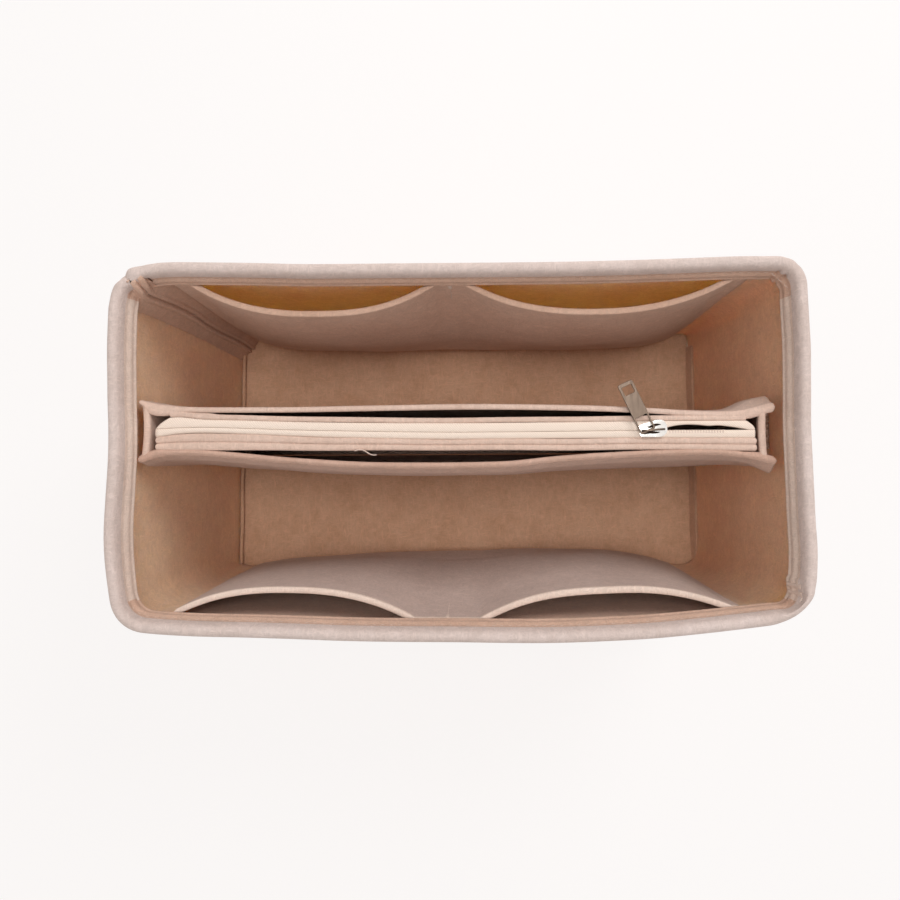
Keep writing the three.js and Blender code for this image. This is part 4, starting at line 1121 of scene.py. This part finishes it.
def chain(side):
    """Tape and coil as one soft band: the back one is wide and flat, the front one a narrow ridge."""
    first, last, closed_gap, end_round = -125.4, 123.2, 0.02, 1.2
    width = BACK_WIDTH if side > 0 else FRONT_WIDTH
    wave = waves(71 + side, 90)
    xs = np.concatenate([np.linspace(first, -108, 20), np.linspace(-106, 83, 80), np.linspace(84, last, 60)])
    rings = []
    for x in xs:
        open_gap = max(0.0, float(OPEN_HALF(x))) if side > 0 else 0
        end = min(1.0, (x - first) / end_round, (last - x) / end_round)
        top = 136.9 + 0.08 * wave(x) - 0.8 * (1 - math.sqrt(max(0.0, 1 - (1 - end) ** 2)))
        way, z, _ = chain_section(side, closed_gap + open_gap, float(width(x)), top).T
        rings.append(stack(end_shape(x, side * way, z), ZIP_Y + ZIP_BEND(x) + side * way, z))
    name = "back" if side > 0 else "front"
    return add_mesh(f"zipper_chain_{name}", *loft(rings), "pouch", "tape", TAPE,
                    (f"zipper_tape_{name}", f"zipper_coil_{name}"))


def teeth():
    """Turns of the coil on the front half, seen where the chain is open."""
    turn = [(0, -1.2, 136.85), (0, -0.75, 136.96), (0.03, -0.3, 136.96), (0.08, -0.05, 136.7),
            (0.12, -0.08, 135.9)]
    first, last, pitch, thread_radius = 88.0, 111.0, 1.15, 0.27
    parts = []
    for x in np.arange(first, last, pitch):
        y = ZIP_Y + float(ZIP_BEND(x))
        parts.append(tube([(x + along, y + across, z) for along, across, z in turn], thread_radius, 6))
    return add_mesh("coil_turns", *join_parts(parts), "pouch", "coil", THREAD)


def patch(name, side, inset, thick, piece_name):
    """A patch of hook or loop tape with a rough face."""
    own = np.random.default_rng(81 + side)

    def face(y, z, depth):
        rough = own.uniform(-0.12, 0.12, len(z))
        points = stack(side * (plan(z)[1] - inset - depth - rough), y, z)
        return settle(points) if piece_name == "tray" else points

    ys = np.linspace(ZIP_Y - PATCH_WIDTH / 2, ZIP_Y + PATCH_WIDTH / 2, 26)
    zs = np.linspace(PATCH_TOP - PATCH_HEIGHT, PATCH_TOP, 60)
    points, faces = felt_sheet(ys, zs, thick, face, 0.5, 0.5)
    return add_mesh(f"{name}_rough", points, faces, body=piece_name, slot="hook_loop", material=HOOKS,
                    replaces=(name,))


def panel_stitches():
    """Stitches along both sides of the zip pocket's top."""
    parts = []
    xs = np.linspace(-121, 117, 200)
    keep = xs[(xs > -112) & (xs < 110)]
    for side, width, wave in ((-1, FRONT_WIDTH, waves(60, 80)), (1, BACK_WIDTH, waves(62, 80))):
        across = width(keep) + 0.75 + 0.15 * wave(keep)
        line = stack(keep, ZIP_Y + ZIP_BEND(keep) + side * across, np.full(len(keep), POUCH_TOP - 0.02))
        parts.append(stitches(line, 2.2, 0.9, 0.22, (0, 0, 1.0), 0.16))
    return add_mesh("zip_stitches", *join_parts(parts), "pouch", "thread", THREAD)


def thread_tail():
    """A loose end of thread beside the zip pocket."""
    t = np.linspace(0, 1, 24)
    x = mix(-42.5, -33.5, t)
    y = -1.0 - 0.9 * t + 0.9 * np.sin(5.5 * t)
    z = POUCH_TOP + 0.25 - 0.5 * t + 0.4 * np.sin(3 * t)
    return add_mesh("thread_tail", *tube(stack(x, y, z), 0.22), "pouch", "thread", THREAD)


# Slider and tab
def solid_outline(outline, low, high):
    """A plate of any outline in plan."""
    outline = np.asarray(outline, float)
    n = len(outline)
    points = np.concatenate([np.c_[outline, np.full(n, low)], np.c_[outline, np.full(n, high)]])
    faces = [tuple(range(n))[::-1], tuple(range(n, 2 * n))]
    faces += [(i, (i + 1) % n, n + (i + 1) % n, n + i) for i in range(n)]
    return points, faces


def rectangle(x0, y0, x1, y1):
    """The corners of a rectangle between two places."""
    return np.array([(x0, y0), (x1, y0), (x1, y1), (x0, y1)])


def plate_outline(length, width):
    """The slider's outline in plan, widest a little past its middle."""
    shape = share_curve([(-1, 0.5), (-0.92, 0.68), (-0.25, 0.88), (0.3, 1), (0.65, 0.95), (0.9, 0.66),
                         (1, 0.3)])
    xs = np.sin(np.linspace(-math.pi / 2, math.pi / 2, 33))
    upper = np.c_[xs * length / 2, shape(xs) * width / 2]
    lower = upper[::-1] * np.array([1, -1])
    return np.concatenate([upper, lower])


def bevelled(piece, width, segments=3, angle=35):
    """The piece with its sharp edges rounded."""
    mod = piece.modifiers.new("bevel", "BEVEL")
    mod.width = width * MM
    mod.segments = segments
    mod.limit_method = "ANGLE"
    mod.angle_limit = math.radians(angle)
    mod.harden_normals = False
    piece.data.shade_smooth()
    return piece


def on_slider(points, degrees=8, shift=0.45):
    """Points of the slider from its own middle to its place: turned a little, as in life."""
    turn = math.radians(degrees)
    x, y, z = np.asarray(points, float).T
    return stack(SLIDER_X + x * math.cos(turn) - y * math.sin(turn),
                 ZIP_Y + shift + x * math.sin(turn) + y * math.cos(turn), z)


def slider_body():
    """Plate, base and post of the slider, and its two raised edges."""
    plate_low, under_top = 137.3, 134.5
    parts = [
        solid_outline(plate_outline(SLIDER_LENGTH, 7.0), plate_low, PLATE_TOP),
        solid_outline(plate_outline(SLIDER_LENGTH, 5.2), under_top - 1.1, under_top),
        solid_outline(rectangle(0.95, -0.35, 3.95, 0.35), under_top - 0.3, plate_low + 0.2),
    ]
    for side in (-1, 1):
        rail = rectangle(-1.4, 2.4, 3.8, 2.9) * np.array([1, side])
        parts.append(solid_outline(rail, 137.26, 137.6))
    points, faces = join_parts(parts)
    piece = add_mesh("slider_body", on_slider(points), faces, "slider", "nickel", NICKEL,
                     ("zipper_slider",))
    return bevelled(piece, 0.3)


def slider_crown():
    """The bridge over the plate that holds the tab."""
    foot = PLATE_TOP - 0.1
    top = PLATE_TOP + 2.15
    outer = [(-4.85, foot), (-4.85, foot + 0.9), (-4.6, foot + 1.5), (-4.0, top - 0.25), (-2.8, top - 0.02),
             (0, top + 0.05), (2.6, top - 0.02), (3.9, top - 0.35), (4.55, foot + 1.3),
             (4.85, foot + 0.7), (4.85, foot)]
    inner = [(-4.15, foot), (-4.15, foot + 0.8), (-4.0, foot + 1.15), (-3.5, top - 0.85),
             (-2.6, top - 0.7), (0, top - 0.68), (2.4, top - 0.7), (3.4, top - 0.95),
             (3.95, foot + 1.0), (4.15, foot + 0.6), (4.15, foot)]
    rings = []
    for (xo, zo), (xi, zi) in zip(outer, inner):
        half = 0.4 if abs(xo) > 4.5 else 0.42
        rings.append([(xo, -half, zo), (xo, half, zo), (xi, half, zi), (xi, -half, zi)])
    points, faces = loft(rings)
    piece = add_mesh("slider_crown", on_slider(points, 4, 0.08), faces, "slider", "nickel", NICKEL_TAB)
    return bevelled(piece, 0.16)


def slider_recess_shades():
    """Painted shade beside the crown: two near-black tubes sunk in the plate where its two hollows lie in
    shade.
    """
    grooves = []
    for side, first, last in ((1, -2.6, 3.4), (-1, -4.4, 2.6)):
        spine = [(x, side * (1.35 + 0.25 * math.sin(x * 0.9)), PLATE_TOP - 0.12)
                 for x in np.linspace(first, last, 16)]
        grooves.append(tube(spine, 0.62 * np.sin(np.linspace(0.25, math.pi - 0.25, 16)), 8))
    points, faces = join_parts(grooves)
    return add_mesh("slider_recess_shades", on_slider(points), faces, "slider", "nickel", NICKEL_PAINTED_SHADE)


def rounded_rectangle(x0, y0, x1, y1, r, n=5):
    """The outline of a rectangle with round corners of radius r, each of n points."""
    points = []
    for cx, cy, start in ((x1 - r, y1 - r, 0), (x0 + r, y1 - r, 1), (x0 + r, y0 + r, 2), (x1 - r, y0 + r, 3)):
        for i in range(n):
            t = (start + i / (n - 1)) * math.pi / 2
            points.append((cx + r * math.cos(t), cy + r * math.sin(t)))
    return points


def plate_with_holes(name, outlines, half_thick, edge):
    """The mesh of a flat plate with rounded edges, from its outline and those of its holes."""
    curve = bpy.data.curves.new("tab_outline", "CURVE")
    curve.dimensions = "2D"
    curve.fill_mode = "BOTH"
    curve.extrude = half_thick * MM
    curve.bevel_depth = edge * MM
    curve.bevel_resolution = 2
    curve.offset = -edge * MM
    for points in outlines:
        spline = curve.splines.new("POLY")
        spline.points.add(len(points) - 1)
        for target, (x, y) in zip(spline.points, points):
            target.co = (x * MM, y * MM, 0, 1)
        spline.use_cyclic_u = True
    shaper = bpy.data.objects.new("tab_shaper", curve)
    bpy.context.scene.collection.objects.link(shaper)
    bpy.context.view_layer.update()
    mesh = bpy.data.meshes.new_from_object(shaper.evaluated_get(bpy.context.evaluated_depsgraph_get()))
    bpy.data.objects.remove(shaper)
    mesh.name = name
    return mesh


def pull_tab():
    """The flat tab: a ring round the crown's rear leg, a neck, and a window at the far end."""
    half, length, bar, band, window_half, window_long = 3.3, 22.3, 0.4, 1.6, 2.2, 3.6
    window_end = length - bar - band
    outlines = [
        rounded_rectangle(-half, -bar, half, length - bar, 0.8),
        rounded_rectangle(-half + 0.7, bar, half - 0.7, bar + 6.2, 0.5),
        rounded_rectangle(-window_half, window_end - window_long, window_half, window_end, 0.5),
    ]
    mesh = plate_with_holes("pull_tab_plate", outlines, 0.28, 0.12)
    across = math.radians(25)
    bar_x, bar_reach, bar_z = SLIDER_X - 1.87, 0.47, 139.2
    place = Vector((bar_x - bar_reach * math.cos(across), ZIP_Y - bar_reach * math.sin(across), bar_z)) * MM
    mesh.transform(Matrix.Translation(place) @ Matrix.Rotation(across, 4, "Z"))
    piece = bpy.data.objects.new("pull_tab_plate", mesh)
    bpy.context.scene.collection.objects.link(piece)
    mesh.materials.clear()
    mesh.materials.append(NICKEL_TAB)
    mesh.shade_smooth()
    mod = piece.modifiers.new("edges", "EDGE_SPLIT")
    mod.split_angle = math.radians(40)
    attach(piece, "tab")
    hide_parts("pull_tab")
    return piece


# Stage
def studio_floor():
    """A plain pale ground that looks as light as the backdrop but still takes shadows."""
    n = Surface("studio_floor")
    n.finish(colour(246, 244, 242), Roughness=0.9, Specular_IOR_Level=0.1)
    glow = n.add("Emission", dict(Color=BACKDROP)).outputs[0]
    lit = n.sum("MULTIPLY", n.add("LightPath").outputs["Is Camera Ray"], 0.8)
    n.show(lit, n.shader.outputs[0], glow)
    size = 3.0
    corners = np.c_[rectangle(-size, -size, size, size), np.zeros(4)]
    mesh = bpy.data.meshes.new("studio_floor")
    mesh.from_pydata(corners.tolist(), [], [(0, 1, 2, 3)])
    mesh.materials.append(n.owner)
    ground = bpy.data.objects.new("studio_floor", mesh)
    ground.location.z = -0.0002
    bpy.context.scene.collection.objects.link(ground)


def studio_world():
    """Soft light from all round. The camera and mirrors see a plain backdrop instead."""
    n = Nodes(bpy.data.worlds.new("studio"), "OutputWorld")
    bpy.context.scene.world = n.owner
    soft = n.add("Background", dict(Color=(1.0, 0.985, 0.97, 1), Strength=0.48)).outputs[0]
    plain = n.add("Background", dict(Color=BACKDROP, Strength=1.0)).outputs[0]
    rays = n.add("LightPath")
    seen = rays.outputs["Is Camera Ray"]
    for kind in ("Is Glossy Ray", "Is Transmission Ray"):
        seen = n.sum("MAXIMUM", seen, rays.outputs[kind])
    n.show(seen, soft, plain)


def lamp(name, place, target, size, power, tone=(1, 1, 1)):
    """A round lamp that looks at its target, in metres and watts."""
    data = bpy.data.lights.new(name, "AREA")
    data.shape = "DISK"
    data.size = size
    data.energy = power
    data.color = tone
    obj = bpy.data.objects.new(name, data)
    obj.location = place
    obj.rotation_euler = (Vector(target) - Vector(place)).to_track_quat("-Z", "Y").to_euler()
    bpy.context.scene.collection.objects.link(obj)


def camera():
    """The camera fitted to the photo. Its focal length and shift are in pixels of the photo."""
    photo_width, focal, shift_x, shift_y, sensor = 900, 754, -19.4, -51.0, 36
    place = Vector((11.35, -1.56, 450.0)) * MM
    data = bpy.data.cameras.new("camera")
    obj = bpy.data.objects.new("camera", data)
    bpy.context.scene.collection.objects.link(obj)
    data.sensor_fit = "HORIZONTAL"
    data.sensor_width = sensor
    data.lens = sensor * focal / photo_width
    data.shift_x = shift_x / photo_width
    data.shift_y = shift_y / photo_width
    data.clip_start = 0.01
    data.clip_end = 20
    turn = Matrix.Identity(4)
    for degrees, axis in ((-0.4, "Z"), (4.0, "X"), (1.14, "Y")):
        turn = turn @ Matrix.Rotation(math.radians(degrees), 4, axis)
    obj.matrix_world = Matrix.Translation(place) @ turn
    bpy.context.scene.camera = obj


bpy.context.scene.view_settings.view_transform = "Standard"
studio_floor()
studio_world()
lamp("overhead", (0.04, 0.12, 1.7), (0, 0, 0.1), 0.6, 9.5, (1, 0.985, 0.965))
lamp("key", (0.8, 0.96, 1.1), (0, 0, 0.12), 0.8, 8.0)
lamp("behind", (0.02, 0.6, 0.07), (0, 0.07, 0.1), 0.13, 0.4, (1, 0.99, 0.97))
camera()

wall_and_hem()
hem_stitches()
hem_tack("hem_tack_front", -59.5)
hem_tack("hem_tack_rear", -56.3)
seam_allowance()
floor()
for wall_name in POCKETS:
    pocket_panel(wall_name)
    pocket_tack(wall_name)
for panel_name, panel_side in (("front", -1), ("back", 1)):
    pouch_panel(panel_name)
    zip_panel(panel_name, panel_side)
    chain(panel_side)
for end_name, end_side in (("left", -1), ("right", 1)):
    gusset(end_name, end_side)
    zip_end(end_name, end_side)
    patch(f"{end_name}_loop_patch", end_side, 3.3, 2.2, "tray")
    patch(f"{end_name}_hook_patch", end_side, 5.8, 1.2, "pouch")
pouch_base()
teeth()
panel_stitches()
thread_tail()
slider_body()
slider_crown()
slider_recess_shades()
pull_tab()
